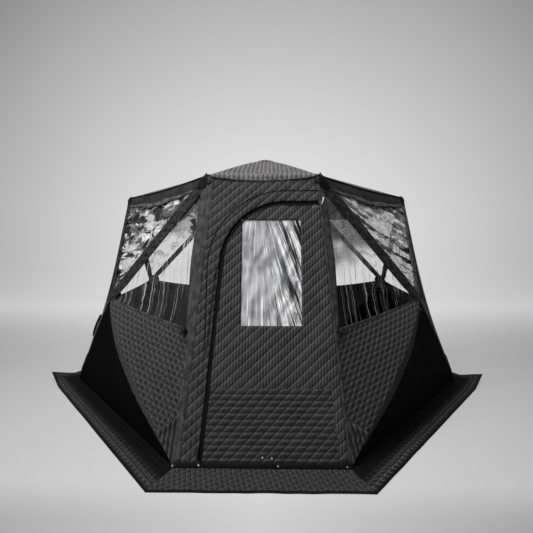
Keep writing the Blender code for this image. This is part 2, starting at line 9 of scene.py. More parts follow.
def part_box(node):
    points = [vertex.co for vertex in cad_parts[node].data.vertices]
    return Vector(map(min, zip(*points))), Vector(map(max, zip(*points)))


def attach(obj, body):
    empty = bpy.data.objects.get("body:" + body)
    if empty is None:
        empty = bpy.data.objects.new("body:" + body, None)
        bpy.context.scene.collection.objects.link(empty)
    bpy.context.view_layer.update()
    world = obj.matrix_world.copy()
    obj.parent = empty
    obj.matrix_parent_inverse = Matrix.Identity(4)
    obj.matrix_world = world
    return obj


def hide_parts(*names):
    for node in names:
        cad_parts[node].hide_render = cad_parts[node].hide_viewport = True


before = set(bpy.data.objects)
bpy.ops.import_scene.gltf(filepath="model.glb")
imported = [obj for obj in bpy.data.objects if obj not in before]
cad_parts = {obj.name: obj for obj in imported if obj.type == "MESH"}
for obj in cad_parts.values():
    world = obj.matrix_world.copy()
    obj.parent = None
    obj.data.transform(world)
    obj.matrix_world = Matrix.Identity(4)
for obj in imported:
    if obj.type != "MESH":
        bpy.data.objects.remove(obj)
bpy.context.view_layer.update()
print("frame loaded")

# The tent's plan and heights, as the solids have them, in metres from the roof hub's axis
tent = {
    "halfDoorWall": 0.545,
    "frontDepth": 1.497,
    "sideReach": 1.945,
    "halfRear": 1.026,
    "rearDepth": 1.836,
    "eavesShare": 0.711,
    "footHeight": 0.012,
    "eavesHeight": 1.875,
    "peakHeight": 2.25,
    "bulge": 0.23,
    "hubShare": 0.48,
    "toggleShare": 0.43,
    "togglePull": 0.058,
}
cornerOrder = ("front_left", "front_right", "right", "rear_right", "rear_left", "left")
wallEnds = {
    "front_right_wall": ("front_right", "right"),
    "rear_right_wall": ("right", "rear_right"),
    "rear_wall": ("rear_right", "rear_left"),
    "rear_left_wall": ("rear_left", "left"),
    "front_left_wall": ("left", "front_left"),
}
roofSides = ("front", "front_right", "rear_right", "rear", "rear_left", "front_left")
upright = Vector((0, 0, 1))
rightward = Vector((1, 0, 0))


def planCorners():
    middle = (tent["rearDepth"] - tent["frontDepth"]) / 2
    plan = {
        "front_left": (-tent["halfDoorWall"], -tent["frontDepth"]),
        "front_right": (tent["halfDoorWall"], -tent["frontDepth"]),
        "right": (tent["sideReach"], 0.0),
        "rear_right": (tent["halfRear"], tent["rearDepth"]),
        "rear_left": (-tent["halfRear"], tent["rearDepth"]),
        "left": (-tent["sideReach"], 0.0),
    }
    share = tent["eavesShare"]
    low = {key: Vector((x, y - middle, tent["footHeight"])) for key, (x, y) in plan.items()}
    high = {
        key: Vector((x * share, y * share - middle, tent["eavesHeight"]))
        for key, (x, y) in plan.items()
    }
    return low, high, Vector((0.0, -middle, tent["peakHeight"]))


foot, eaves, peak = planCorners()


def isFront(key):
    return key.startswith("front")


def cornerAfter(index):
    return cornerOrder[(index + 1) % len(cornerOrder)]


def togglePlace(key):
    # Side and rear corner seams are drawn in at half height, the two beside the door run straight
    place = foot[key].lerp(eaves[key], tent["toggleShare"])
    if isFront(key):
        return place
    inward = Vector((peak.x - place.x, peak.y - place.y, 0.0)).normalized()
    return place + inward * tent["togglePull"]


toggle = {key: togglePlace(key) for key in cornerOrder}


def wallFrame(name):
    # Corner names, base middle, the axes along, up and out, and the hub's place
    left, right = wallEnds[name]
    base = (foot[left] + foot[right]) / 2
    top = (eaves[left] + eaves[right]) / 2
    along = (foot[right] - foot[left]).normalized()
    up = (top - base).normalized()
    out = along.cross(up)
    hub = base.lerp(top, tent["hubShare"]) + out * tent["bulge"]
    return left, right, base, along, up, out, hub


def isSocket(value):
    return isinstance(value, bpy.types.NodeSocket)


def feed(sockets, values):
    # Links the sockets to other nodes' outputs, or sets them to plain values
    for key, value in values.items():
        if isSocket(value):
            value.id_data.links.new(value, sockets[key])
        else:
            sockets[key].default_value = value


def addNode(tree, kind, inputs=None, **settings):
    node = tree.nodes.new(kind)
    for key, value in settings.items():
        setattr(node, key, value)
    feed(node.inputs, inputs or {})
    return node


def calc(operation, *values):
    # The node goes into the tree that its linked values come from
    tree = next(value.id_data for value in values if isSocket(value))
    return addNode(tree, "ShaderNodeMath", dict(enumerate(values)), operation=operation).outputs[0]


def plus(first, second):
    return calc("ADD", first, second)


def minus(first, second):
    return calc("SUBTRACT", first, second)


def times(first, second):
    return calc("MULTIPLY", first, second)


def larger(first, second):
    return calc("MAXIMUM", first, second)


def ramp(value, low, high):
    inputs = {"Value": value, "From Min": low, "From Max": high}
    node = addNode(value.id_data, "ShaderNodeMapRange", inputs, interpolation_type="SMOOTHSTEP")
    return node.outputs["Result"]


def rampDown(value, low, high):
    return minus(1.0, ramp(value, low, high))


def vectorCalc(operation, first, second):
    key = "Scale" if operation == "SCALE" else 1
    inputs = {0: first, key: second}
    return addNode(first.id_data, "ShaderNodeVectorMath", inputs, operation=operation).outputs[0]


def spun(vector, angle):
    inputs = {"Vector": vector, "Angle": angle}
    return addNode(vector.id_data, "ShaderNodeVectorRotate", inputs, rotation_type="Z_AXIS").outputs[0]


def axesOf(vector):
    return addNode(vector.id_data, "ShaderNodeSeparateXYZ", {0: vector}).outputs


def joined(first, second, third=0.0):
    return addNode(first.id_data, "ShaderNodeCombineXYZ", {0: first, 1: second, 2: third}).outputs[0]


def measured(axes, angle):
    # How far a point lies in a direction
    return plus(times(axes[0], calc("COSINE", angle)), times(axes[1], calc("SINE", angle)))


def noiseNode(vector, scale, detail, rough=0.5):
    inputs = {"Vector": vector, "Scale": scale, "Detail": detail, "Roughness": rough}
    return addNode(vector.id_data, "ShaderNodeTexNoise", inputs).outputs


def shaken(vector, scale, detail, amount):
    # The vector moved about by slow noise
    centred = vectorCalc("SUBTRACT", noiseNode(vector, scale, detail)["Color"], (0.5, 0.5, 0.5))
    return vectorCalc("ADD", vector, vectorCalc("SCALE", centred, amount))


def mixColour(factor, first, second):
    colours = [value if isSocket(value) else (*value, 1.0) for value in (first, second)]
    inputs = {0: factor, 6: colours[0], 7: colours[1]}
    return addNode(factor.id_data, "ShaderNodeMix", inputs, data_type="RGBA").outputs[2]


def scaled(colour, factor):
    return tuple(min(1.0, part * factor) for part in colour)


def newGroup(name, inputs, outputs):
    # An input without a number and the output Shaken are vectors, the rest are values
    group = bpy.data.node_groups.new(name, "ShaderNodeTree")
    for label, value in inputs.items():
        kind = "NodeSocketVector" if value is None else "NodeSocketFloat"
        socket = group.interface.new_socket(label, in_out="INPUT", socket_type=kind)
        if value is not None:
            socket.default_value = value
    for label in outputs:
        kind = "NodeSocketVector" if label == "Shaken" else "NodeSocketFloat"
        group.interface.new_socket(label, in_out="OUTPUT", socket_type=kind)
    return group, group.nodes.new("NodeGroupInput").outputs, group.nodes.new("NodeGroupOutput").inputs


def placeGroup(tree, group, inputs):
    return addNode(tree, "ShaderNodeGroup", inputs, node_tree=group).outputs


def makeStitchGroup():
    # Parallel stitched lines: Line is 1 on the thread, Shine is a painted highlight beside it on the side
    # that Side picks, Puff swells between the lines
    inputs = {"Vector": None, "Angle": 0.0, "Spacing": 0.05, "Width": 0.004, "Side": 1.0}
    group, start, end = newGroup("stitchLines", inputs, ("Line", "Shine", "Puff"))
    across = calc("DIVIDE", measured(axesOf(start["Vector"]), start["Angle"]), start["Spacing"])
    centred = minus(calc("FRACT", across), 0.5)
    reach = calc("DIVIDE", start["Width"], start["Spacing"])
    away = calc("ABSOLUTE", centred)
    beside = calc("ABSOLUTE", minus(centred, times(times(reach, 1.5), start["Side"])))
    shine = rampDown(beside, 0.0, times(reach, 1.3))
    puff = calc("POWER", times(away, 2.0), 0.45)
    feed(end, {"Line": rampDown(away, 0.0, reach), "Shine": shine, "Puff": puff})
    return group


def makeGrainGroup():
    # Fine cloth grain and slow unevenness, and the same vector slightly shaken
    inputs = {"Vector": None, "Shake": 0.004}
    group, start, end = newGroup("clothGrain", inputs, ("Grain", "Patches", "Shaken"))
    vector = start["Vector"]
    results = {"Grain": noiseNode(vector, 420.0, 2.0)["Fac"], "Patches": noiseNode(vector, 5.0, 3.0)["Fac"]}
    results["Shaken"] = shaken(vector, 11.0, 2.0, times(start["Shake"], 2.0))
    feed(end, results)
    return group


def makeShardGroup():
    # Crumpled film: flat shards, each one painted across from a painted highlight to a painted dark
    # reflection in its own direction
    inputs = {"Vector": None, "Scale": 10.0, "Stretch": 1.0, "Turn": 0.0}
    group, start, end = newGroup("filmShards", inputs, ("Bright", "Dark", "Height"))
    moved = spun(shaken(start["Vector"], 9.0, 1.0, 0.09), start["Turn"])
    pulled = vectorCalc("MULTIPLY", moved, joined(start["Stretch"], 1.0))
    tones = []
    for share, grow in ((0.75, 1.0), (0.45, 2.3)):
        size = times(start["Scale"], grow)
        cells = addNode(group, "ShaderNodeTexVoronoi", {"Vector": pulled, "Scale": size}, feature="F1")
        local = vectorCalc("SUBTRACT", pulled, cells.outputs["Position"])
        chance = addNode(group, "ShaderNodeSeparateColor", {0: cells.outputs["Color"]}).outputs
        slope = times(measured(axesOf(local), times(chance[0], 2 * math.pi)), size)
        level = times(minus(chance[1], 0.5), 0.8)
        tones.append(times(plus(slope, level), share))
    tone = reduce(plus, tones)
    bright = ramp(times(tone, -1.0), 0.14, 0.42)
    feed(end, {"Bright": bright, "Dark": ramp(tone, 0.10, 0.36), "Height": tone})
    return group


def makeFoldGroup():
    # Long thin folds that run along the second axis of the vector, with a painted dark reflection on one
    # flank and a painted highlight on the other
    inputs = {"Vector": None, "Across": 30.0, "Along": 1.5, "Cover": 0.0}
    group, start, end = newGroup("filmFolds", inputs, ("Bright", "Dark", "Height"))
    pulled = vectorCalc("MULTIPLY", start["Vector"], joined(start["Across"], start["Along"], 1.0))
    wave = noiseNode(pulled, 1.0, 3.5, 0.6)["Fac"]
    bright = ramp(plus(wave, start["Cover"]), 0.56, 0.64)
    dark = rampDown(minus(wave, start["Cover"]), 0.36, 0.44)
    feed(end, {"Bright": bright, "Dark": dark, "Height": wave})
    return group


stitchLines = makeStitchGroup()
clothGrain = makeGrainGroup()
filmShards = makeShardGroup()
filmFolds = makeFoldGroup()


def newMaterial(name):
    material = bpy.data.materials.new(name)
    material.use_nodes = True
    tree = material.node_tree
    return material, tree, tree.nodes["Principled BSDF"]


def uvOutput(tree, name="UVMap"):
    return addNode(tree, "ShaderNodeUVMap", uv_map=name).outputs["UV"]


def setSurface(shader, colour, height, roughness, distance, gloss):
    inputs = {"Height": height, "Strength": 1.0, "Distance": distance}
    bump = addNode(shader.id_data, "ShaderNodeBump", inputs).outputs["Normal"]
    feed(shader.inputs, {"Normal": bump, "Base Color": colour, "Roughness": roughness})
    shader.inputs["Specular IOR Level"].default_value = gloss


def quiltPattern(vector, families):
    # Families of lines laid over each other: angle in degrees, spacing, width, puff, dark and light; light is
    # the strength of the painted highlight
    layers = []
    for angle, spacing, width, puff, dark, light in families:
        turn = math.radians(angle)
        # The painted highlight goes on the side of each line that faces the lamps, above and to the left
        lit = -1.0 if 0.85 * math.sin(turn) - 0.5 * math.cos(turn) > 0 else 1.0
        values = {"Vector": vector, "Angle": turn, "Spacing": spacing, "Width": width, "Side": lit}
        family = placeGroup(vector.id_data, stitchLines, values)
        lift, thread = times(family["Puff"], puff), times(family["Line"], dark)
        layers.append((lift, thread, times(family["Shine"], light)))
    lifts, threads, shines = zip(*layers)
    return reduce(plus, lifts), reduce(larger, threads), reduce(larger, shines)


def quiltColour(grain, threads, shines, look):
    light, dark = scaled(look["colour"], 1.4), scaled(look["colour"], 0.66)
    cloth = mixColour(ramp(grain["Patches"], 0.3, 0.7), dark, light)
    cloth = mixColour(times(ramp(grain["Grain"], 0.38, 0.68), 0.4), cloth, look["shine"])
    # Painted highlight beside the stitched lines, in the shine colour
    cloth = mixColour(shines, cloth, look["shine"])
    return mixColour(threads, cloth, look["thread"])


def quiltMaterial(name, look):
    material, tree, shader = newMaterial(name)
    grain = placeGroup(tree, clothGrain, {"Vector": uvOutput(tree), "Shake": look["shake"]})
    height, threads, shines = quiltPattern(grain["Shaken"], look["families"])
    colour = quiltColour(grain, threads, shines, look)
    if "shadeFrom" in look:
        # Painted shade: the cloth darkens towards the wall it is sewn to
        shade = ramp(axesOf(grain["Shaken"])[1], look["shadeFrom"], look["shadeTo"])
        colour = mixColour(shade, colour, look["thread"])
    height = plus(height, times(grain["Grain"], look["grain"]))
    roughness = plus(0.72, times(grain["Grain"], 0.2))
    setSurface(shader, colour, height, roughness, look["depth"], look["gloss"])
    feed(shader.inputs, {"Sheen Weight": look["sheen"], "Sheen Roughness": 0.5})
    return material


# In each look, shine is the colour of the painted highlight beside the stitched lines, and it also lightens
# the fine grain
quiltLooks = {
    "doorQuilt": {
        "colour": (0.030, 0.029, 0.0295),
        "shine": (0.098, 0.096, 0.097),
        "families": [
            (133.0, 0.051, 0.0052, 0.55, 0.98, 0.75),
            (0.0, 0.0195, 0.0040, 0.30, 0.62, 0.40),
            (47.0, 0.102, 0.0034, 0.20, 0.45, 0.15),
        ],
    },
    "doorLowQuilt": {
        "colour": (0.0225, 0.0218, 0.0222),
        "shine": (0.078, 0.076, 0.077),
        "families": [
            (137.0, 0.050, 0.0054, 0.50, 0.95, 0.75),
            (90.0, 0.0375, 0.0090, 0.50, 0.60, 0.45),
            (20.0, 0.030, 0.0040, 0.20, 0.35, 0.20),
        ],
    },
    "stripQuilt": {
        "colour": (0.030, 0.029, 0.0295),
        "shine": (0.092, 0.090, 0.091),
        "families": [
            (132.0, 0.050, 0.0054, 0.55, 0.90, 0.75),
            (0.0, 0.030, 0.0042, 0.30, 0.55, 0.35),
            (46.0, 0.050, 0.0040, 0.30, 0.50, 0.25),
        ],
    },
    "sideQuiltLeft": {
        "colour": (0.0070, 0.0068, 0.0069),
        "shine": (0.088, 0.086, 0.087),
        "families": [
            (145.0, 0.038, 0.0056, 0.50, 0.60, 0.85),
            (97.0, 0.036, 0.0056, 0.40, 0.60, 0.60),
            (20.0, 0.037, 0.0056, 0.35, 0.55, 0.40),
        ],
    },
    "sideQuiltRight": {
        "colour": (0.0070, 0.0068, 0.0069),
        "shine": (0.088, 0.086, 0.087),
        "families": [
            (35.0, 0.038, 0.0056, 0.50, 0.60, 0.85),
            (83.0, 0.036, 0.0056, 0.40, 0.60, 0.60),
            (160.0, 0.037, 0.0056, 0.35, 0.55, 0.40),
        ],
    },
    # The roof's cloth is painted lighter than the walls' charcoal, as painted light on its upward faces under
    # the lamps
    "roofQuilt": {
        "colour": (0.086, 0.083, 0.084),
        "shine": (0.21, 0.205, 0.207),
        "families": [
            (0.0, 0.034, 0.0055, 0.60, 0.70, 0.55),
            (62.0, 0.050, 0.0045, 0.25, 0.45, 0.35),
        ],
    },
    "skirtQuilt": {
        "colour": (0.0090, 0.0087, 0.0088),
        "shine": (0.076, 0.074, 0.075),
        "families": [
            (14.0, 0.030, 0.0046, 0.35, 0.80, 0.65),
            (58.0, 0.042, 0.0052, 0.45, 0.85, 0.60),
            (122.0, 0.038, 0.0050, 0.35, 0.75, 0.60),
        ],
    },
    "skirtSideQuilt": {
        "colour": (0.0110, 0.0107, 0.0108),
        "shine": (0.104, 0.102, 0.103),
        "families": [
            (90.0, 0.036, 0.0060, 0.40, 0.90, 0.75),
            (28.0, 0.044, 0.0056, 0.35, 0.80, 0.70),
            (0.0, 0.050, 0.0064, 0.30, 0.70, 0.50),
        ],
        # Its thread colour is also the colour of the painted shade near the wall
        "thread": (0.0052, 0.0052, 0.0052),
        "shadeFrom": -0.175,
        "shadeTo": -0.080,
        "gloss": 0.04,
        "sheen": 0.0,
    },
    "pleatQuilt": {
        "colour": (0.022, 0.0214, 0.0217),
        "shine": (0.075, 0.073, 0.074),
        "families": [(4.0, 0.031, 0.0100, 0.9, 0.98, 0.70)],
    },
}
# The valance, the roof's hanging edge, is painted lighter like the roof, as painted light
quiltLooks["valanceQuilt"] = {
    "colour": (0.10, 0.097, 0.098),
    "shine": (0.23, 0.225, 0.227),
    "families": quiltLooks["roofQuilt"]["families"],
}
quiltBase = {
    "shake": 0.0035,
    "grain": 0.10,
    "depth": 0.012,
    "gloss": 0.15,
    "sheen": 0.06,
    "thread": (0.0022, 0.0022, 0.0022),
}


def plainMaterial(name, look):
    # Coated cloth or webbing with a fine grain and slow wrinkles
    material, tree, shader = newMaterial(name)
    grain = placeGroup(tree, clothGrain, {"Vector": uvOutput(tree), "Shake": 0.01})
    light = scaled(look["colour"], look["contrast"])
    dark = tuple(part / look["contrast"] for part in look["colour"])
    blotch = noiseNode(grain["Shaken"], look["blotch"], 3.0)["Fac"]
    colour = mixColour(ramp(blotch, 0.38, 0.62), dark, light)
    height = plus(times(grain["Patches"], look["wrinkle"]), times(grain["Grain"], 0.12))
    setSurface(shader, colour, height, look["roughness"], look["depth"], look["gloss"])
    return material


plainBase = {"wrinkle": 1.2, "roughness": 0.7, "depth": 0.004}
plainLooks = {
    "bottomCloth": {"colour": (0.0012, 0.0012, 0.0012), "contrast": 1.2, "blotch": 4.0, "gloss": 0.05},
    "strapCloth": {"colour": (0.0085, 0.0083, 0.0085), "contrast": 3.2, "blotch": 30.0, "gloss": 0.2},
    "bandCloth": {"colour": (0.0072, 0.0069, 0.0069), "contrast": 2.4, "blotch": 12.0, "gloss": 0.3},
    "borderCloth": {"colour": (0.034, 0.033, 0.0335), "contrast": 1.6, "blotch": 16.0, "gloss": 0.25},
    "sagCloth": {"colour": (0.050, 0.048, 0.047), "contrast": 1.8, "blotch": 18.0, "gloss": 0.3},
    "paleCloth": {"colour": (0.105, 0.102, 0.101), "contrast": 1.3, "blotch": 22.0, "gloss": 0.3},
    "tagCloth": {"colour": (0.62, 0.62, 0.62), "contrast": 1.1, "blotch": 40.0, "gloss": 0.3},
    "bindingCloth": {"colour": (0.004, 0.004, 0.004), "contrast": 1.3, "blotch": 30.0, "gloss": 0.1},
    "jackCloth": {"colour": (0.13, 0.13, 0.135), "contrast": 1.2, "blotch": 12.0, "gloss": 0.4},
}


def bottomMaterial(name, plainColour, quilt, lift):
    # Plain cloth with a quilted edge beside the front ridge; edgeDistance is above 0 in the quilt
    material, tree, shader = newMaterial(name)
    grain = placeGroup(tree, clothGrain, {"Vector": uvOutput(tree), "Shake": 0.0035})
    edge = addNode(tree, "ShaderNodeAttribute", attribute_name="edgeDistance").outputs["Fac"]
    inside = ramp(edge, 0.0, 0.004)
    height, threads, shines = quiltPattern(grain["Shaken"], quilt["families"])
    # The quilted edge is painted lighter, as painted light on a panel that faces down
    paintedLightQuilt = dict(quilt, colour=scaled(quilt["colour"], lift), shine=scaled(quilt["shine"], lift))
    quilted = quiltColour(grain, threads, shines, paintedLightQuilt)
    bare = mixColour(grain["Patches"], plainColour, scaled(plainColour, 1.5))
    raised = plus(times(height, inside), times(grain["Grain"], 0.1))
    setSurface(shader, mixColour(inside, bare, quilted), raised, 0.85, 0.010, 0.03)
    return material


def filmMaterial(name, look):
    # Thin film: clear where it is smooth, hiding more behind painted highlights and painted dark reflections
    # where it folds
    material, tree, shader = newMaterial(name)
    uv, foldUv = uvOutput(tree), uvOutput(tree, "foldMap")
    side, rise = axesOf(foldUv)[:2]
    values = {"Vector": uv, "Scale": look["scale"], "Stretch": look["stretch"], "Turn": look["turn"]}
    shards = placeGroup(tree, filmShards, values)

    def folds(vector, kind, cover=0.0):
        values = {"Vector": vector, "Across": look[kind], "Along": look[kind + "Along"], "Cover": cover}
        return placeGroup(tree, filmFolds, values)

    fanVector = foldUv
    if "pole" in look:
        # Folds radiate from a point beyond the upper edge
        toFoot = minus(look["pole"][1], rise)
        toSide = times(minus(side, look["pole"][0]), 0.56)
        fanVector = joined(calc("ARCTAN2", toSide, toFoot), toFoot)
    fan = folds(fanVector, "fan")
    hang = folds(joined(rise, side), "hang")
    sweep = folds(spun(uv, look["sweepTurn"]), "sweep", look["sweepCover"])
    above = ramp(rise, look["fanTo"], look["fanTo"] + look["fanBlend"])
    below = minus(1.0, above)

    def blend(name):
        low = times(fan[name], times(below, look["fanPower"]))
        return plus(low, times(hang[name], times(above, look["hangPower"])))

    uneven = times(minus(noiseNode(uv, 4.0, 1.0)["Fac"], 0.5), 0.7)
    reach = side if "pole" in look else rise
    if look["zoneOn"] == "height":
        reach = axesOf(uv)[1]
    crumpled = ramp(plus(reach, uneven), look["zoneLow"], look["zoneHigh"])
    swept = times(crumpled, look["sweepPower"])
    shows = {}
    for tone in ("Dark", "Bright"):
        shard = times(shards[tone], times(crumpled, look["shard" + tone]))
        fold = times(blend(tone), look["fold" + tone])
        if tone == "Dark" and "pole" in look:
            fold = times(fold, plus(0.25, crumpled))
        shows[tone] = larger(larger(shard, fold), times(sweep[tone], swept))
    # The haze is dimmer in the crumpled zone as painted shade; on the door's window it varies between pale
    # and dim in slow noise patches
    shadow = crumpled
    if "pole" in look:
        shadow = ramp(noiseNode(uv, 5.0, 3.0, 0.6)["Fac"], 0.34, 0.66)
    colour = mixColour(shadow, look["pale"], look["dim"])
    # Painted highlights and painted dark reflections on the shards and folds
    colour = mixColour(shows["Bright"], colour, look["light"])
    colour = mixColour(shows["Dark"], colour, look["dark"])
    cover = times(larger(shows["Dark"], shows["Bright"]), look["cover"])
    haze = plus(look["clear"], times(crumpled, look["haze"]))
    relief = plus(times(shards["Height"], times(crumpled, 0.6)), blend("Height"))
    setSurface(shader, colour, relief, look["roughness"], look["depth"], look["gloss"])
    feed(shader.inputs, {"Alpha": larger(haze, cover)})
    return material


filmBase = {
    "fanAlong": 1.2,
    "fanBlend": 0.2,
    "fanPower": 0.9,
    "hangAlong": 3.0,
    "hangPower": 0.7,
    "sweep": 30.0,
    "sweepTurn": 0.9,
    "sweepAlong": 2.5,
    "sweepPower": 0.0,
    "sweepCover": 0.02,
    "zoneOn": "share",
    "zoneLow": -0.40,
    "zoneHigh": 0.20,
    "shardDark": 1.0,
    "shardBright": 0.8,
    "foldDark": 0.95,
    "foldBright": 0.8,
    "haze": 0.05,
    "clear": 0.04,
    "cover": 0.98,
    # The haze is pale, or dim where it is painted darker; light and dark colour the painted highlights and
    # painted dark reflections
    "dim": (0.30, 0.30, 0.31),
    "pale": (0.60, 0.60, 0.61),
    "light": (0.74, 0.74, 0.75),
    "dark": (0.006, 0.006, 0.006),
    "roughness": 0.16,
    "depth": 0.006,
    "gloss": 0.6,
}
sideFilmBase = {
    "hang": 9.0,
    "fanTo": 0.70,
    "fanAlong": 0.5,
    "sweep": 18.0,
    "zoneOn": "height",
    "zoneLow": 1.42,
    "zoneHigh": 1.62,
    "clear": 0.015,
    "foldDark": 0.05,
    "foldBright": 0.45,
    "light": (0.40, 0.40, 0.41),
}
filmLooks = {
    "topFilmRight": {
        "scale": 9.0,
        "stretch": 0.45,
        "turn": 0.10,
        "fan": 26.0,
        "hang": 15.0,
        "fanTo": 0.28,
        "sweep": 15.0,
        "sweepTurn": 1.40,
        "sweepAlong": 3.5,
        "sweepPower": 1.0,
        "haze": 0.15,
    },
    "topFilmLeft": {
        "scale": 12.0,
        "stretch": 0.22,
        "turn": 0.75,
        "fan": 34.0,
        "hang": 12.0,
        "fanTo": 0.55,
        "sweep": 17.0,
        "sweepTurn": -1.13,
        "sweepAlong": 1.3,
        "sweepPower": 1.0,
        "sweepCover": 0.055,
        "shardDark": 0.3,
        "shardBright": 0.3,
        "haze": 0.25,
        "dim": (0.36, 0.36, 0.37),
    },
    "sideFilmRight": {
        **sideFilmBase,
        "scale": 11.0,
        "stretch": 0.6,
        "turn": 0.5,
        "fan": 44.0,
        "sweepPower": 0.8,
        "haze": 0.42,
        "dim": (0.14, 0.14, 0.14),
    },
    "sideFilmLeft": {
        **sideFilmBase,
        "scale": 7.0,
        "stretch": 1.8,
        "turn": 0.3,
        "fan": 50.0,
        "sweepPower": 0.3,
        "zoneLow": 1.20,
        "zoneHigh": 1.46,
        "shardDark": 0.25,
        "shardBright": 0.2,
        "foldBright": 0.30,
        "haze": 0.60,
        "clear": 0.0,
        "dim": (0.10, 0.10, 0.10),
    },
    "rearFilm": {
        "scale": 9.0,
        "stretch": 0.5,
        "turn": 0.3,
        "fan": 30.0,
        "hang": 12.0,
        "fanTo": 0.3,
        "shardDark": 0.08,
        "shardBright": 0.3,
        "foldDark": 0.06,
        "foldBright": 0.25,
        "haze": 0.02,
        "clear": 0.02,
    },
    "doorFilm": {
        "scale": 4.5,
        "stretch": 3.2,
        "turn": 0.42,
        "pole": (0.25, 1.45),
        "fan": 52.0,
        "hang": 9.0,
        "fanTo": 2.0,
        "fanAlong": 1.1,
        "fanPower": 1.15,
        "sweepTurn": -0.32,
        "sweepAlong": 1.2,
        "sweepPower": 1.0,
        "sweepCover": 0.045,
        "zoneLow": 0.30,
        "zoneHigh": 0.85,
        "shardDark": 0.45,
        "shardBright": 0.6,
        "foldDark": 1.0,
        "foldBright": 0.9,
        "clear": 0.97,
        "dim": (0.26, 0.26, 0.27),
        "pale": (0.50, 0.50, 0.51),
        "light": (0.90, 0.90, 0.91),
        "dark": (0.010, 0.010, 0.011),
        "depth": 0.004,
        "gloss": 0.25,
    },
}


def hardMaterial(name, colour, roughness, metallic, scale):
    # Moulded or metal parts: fine mottling in colour, roughness and bump, on object coordinates
    material, tree, shader = newMaterial(name)
    place = addNode(tree, "ShaderNodeTexCoord").outputs["Object"]
    mottle = noiseNode(place, scale, 4.0)["Fac"]
    mixed = mixColour(ramp(mottle, 0.35, 0.65), colour, scaled(colour, 1.35))
    setSurface(shader, mixed, mottle, plus(roughness, times(mottle, 0.12)), 0.0006, 0.2)
    shader.inputs["Metallic"].default_value = metallic
    return material


# Colour, roughness, metallic and the scale of the mottling
hardLooks = {
    "hubNylon": ((0.007, 0.007, 0.0075), 0.42, 0.0, 180.0),
    "poleFibre": ((0.018, 0.018, 0.019), 0.32, 0.0, 320.0),
    "zipMetal": ((0.03, 0.03, 0.031), 0.40, 0.8, 400.0),
    "eyeletMetal": ((0.62, 0.62, 0.63), 0.30, 1.0, 400.0),
}
# Painted light: how much lighter the bottom panels' one black cloth is painted on each hand, and how much
# their quilted edge is
bottomPaintedLight = {"Left": 2.8, "Right": 1.0, "edge": 1.9}

materials = {name: quiltMaterial(name, {**quiltBase, **look}) for name, look in quiltLooks.items()}
materials.update({name: plainMaterial(name, {**plainBase, **look}) for name, look in plainLooks.items()})
materials.update({name: filmMaterial(name, {**filmBase, **look}) for name, look in filmLooks.items()})
for hand in ("Left", "Right"):
    bottomName = "bottomPanel" + hand
    bare = scaled(plainLooks["bottomCloth"]["colour"], bottomPaintedLight[hand])
    quilt = {**quiltBase, **quiltLooks["sideQuilt" + hand]}
    materials[bottomName] = bottomMaterial(bottomName, bare, quilt, bottomPaintedLight["edge"])
materials.update({name: hardMaterial(name, *look) for name, look in hardLooks.items()})
print("materials made")


def smoothen(piece):
    for polygon in piece.data.polygons:
        polygon.use_smooth = True


def clothPatch(name, cells, place, weave, foldMap=False):
    # A grid laid over place(u, v), with its UV map in metres along the weave's two axes
    bpy.ops.object.select_all(action="DESELECT")
    bpy.ops.mesh.primitive_grid_add(x_subdivisions=cells[0], y_subdivisions=cells[1], size=2)
    piece = bpy.context.object
    piece.name = name
    mesh = piece.data
    mesh.name = name
    shares = [((vert.co.x + 1) / 2, (vert.co.y + 1) / 2) for vert in mesh.vertices]
    for vert, (u, v) in zip(mesh.vertices, shares):
        vert.co = place(u, v)
    origin, along, up = weave
    uvs = mesh.uv_layers[0]
    uvs.name = "UVMap"
    for loop in mesh.loops:
        point = mesh.vertices[loop.vertex_index].co - origin
        uvs.data[loop.index].uv = (point.dot(along), point.dot(up))
    if foldMap:
        folds = mesh.uv_layers.new(name="foldMap")
        for loop in mesh.loops:
            folds.data[loop.index].uv = shares[loop.vertex_index]
    return piece


def applyModifier(piece, kind, **settings):
    bpy.ops.object.select_all(action="DESELECT")
    piece.select_set(True)
    bpy.context.view_layer.objects.active = piece
    modifier = piece.modifiers.new(kind.lower(), kind)
    for key, value in settings.items():
        setattr(modifier, key, value)
    bpy.ops.object.modifier_apply(modifier=modifier.name)


def mergePoints(piece, distance=0.00005):
    work = bmesh.new()
    work.from_mesh(piece.data)
    bmesh.ops.remove_doubles(work, verts=work.verts, dist=distance)
    bmesh.ops.dissolve_degenerate(work, edges=work.edges, dist=distance)
    work.to_mesh(piece.data)
    work.free()


flat = {"turnStep": 3, "leastSide": 0.0105, "leastShare": 0.31}


def flatSize(piece, area):
    # The smallest rectangle round the piece's UV map, made to suit the area of bowed or hooked pieces
    spots = [item.uv.copy() for item in piece.data.uv_layers[0].data][::3]
    best = None
    for k in range(0, 90, flat["turnStep"]):
        turn = Matrix.Rotation(math.radians(k), 2)
        turned = [turn @ spot for spot in spots]
        width = max(p.x for p in turned) - min(p.x for p in turned)
        length = max(p.y for p in turned) - min(p.y for p in turned)
        if best is None or width * length < best[0] * best[1]:
            best = (max(width, flat["leastSide"]), max(length, flat["leastSide"]))
    share = area / (best[0] * best[1])
    change = math.sqrt(share / min(1.0, max(flat["leastShare"], share)))
    return best[0] * change, best[1] * change


def finishCloth(piece, body, material, slot, held="stretched", thickness=0.0022, replaced=(), restsOn=()):
    mergePoints(piece)
    area = sum(face.area for face in piece.data.polygons)
    width, length = flatSize(piece, area)
    applyModifier(piece, "SOLIDIFY", thickness=thickness, offset=-1.0, use_even_offset=False)
    smoothen(piece)
    piece.data.materials.clear()
    piece.data.materials.append(materials[material])
    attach(piece, body)
    if replaced:
        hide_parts(*replaced)
    return piece


def sewCloth(name, cells, place, weave, body, material, slot, foldMap=False, **finish):
    return finishCloth(clothPatch(name, cells, place, weave, foldMap), body, material, slot, **finish)


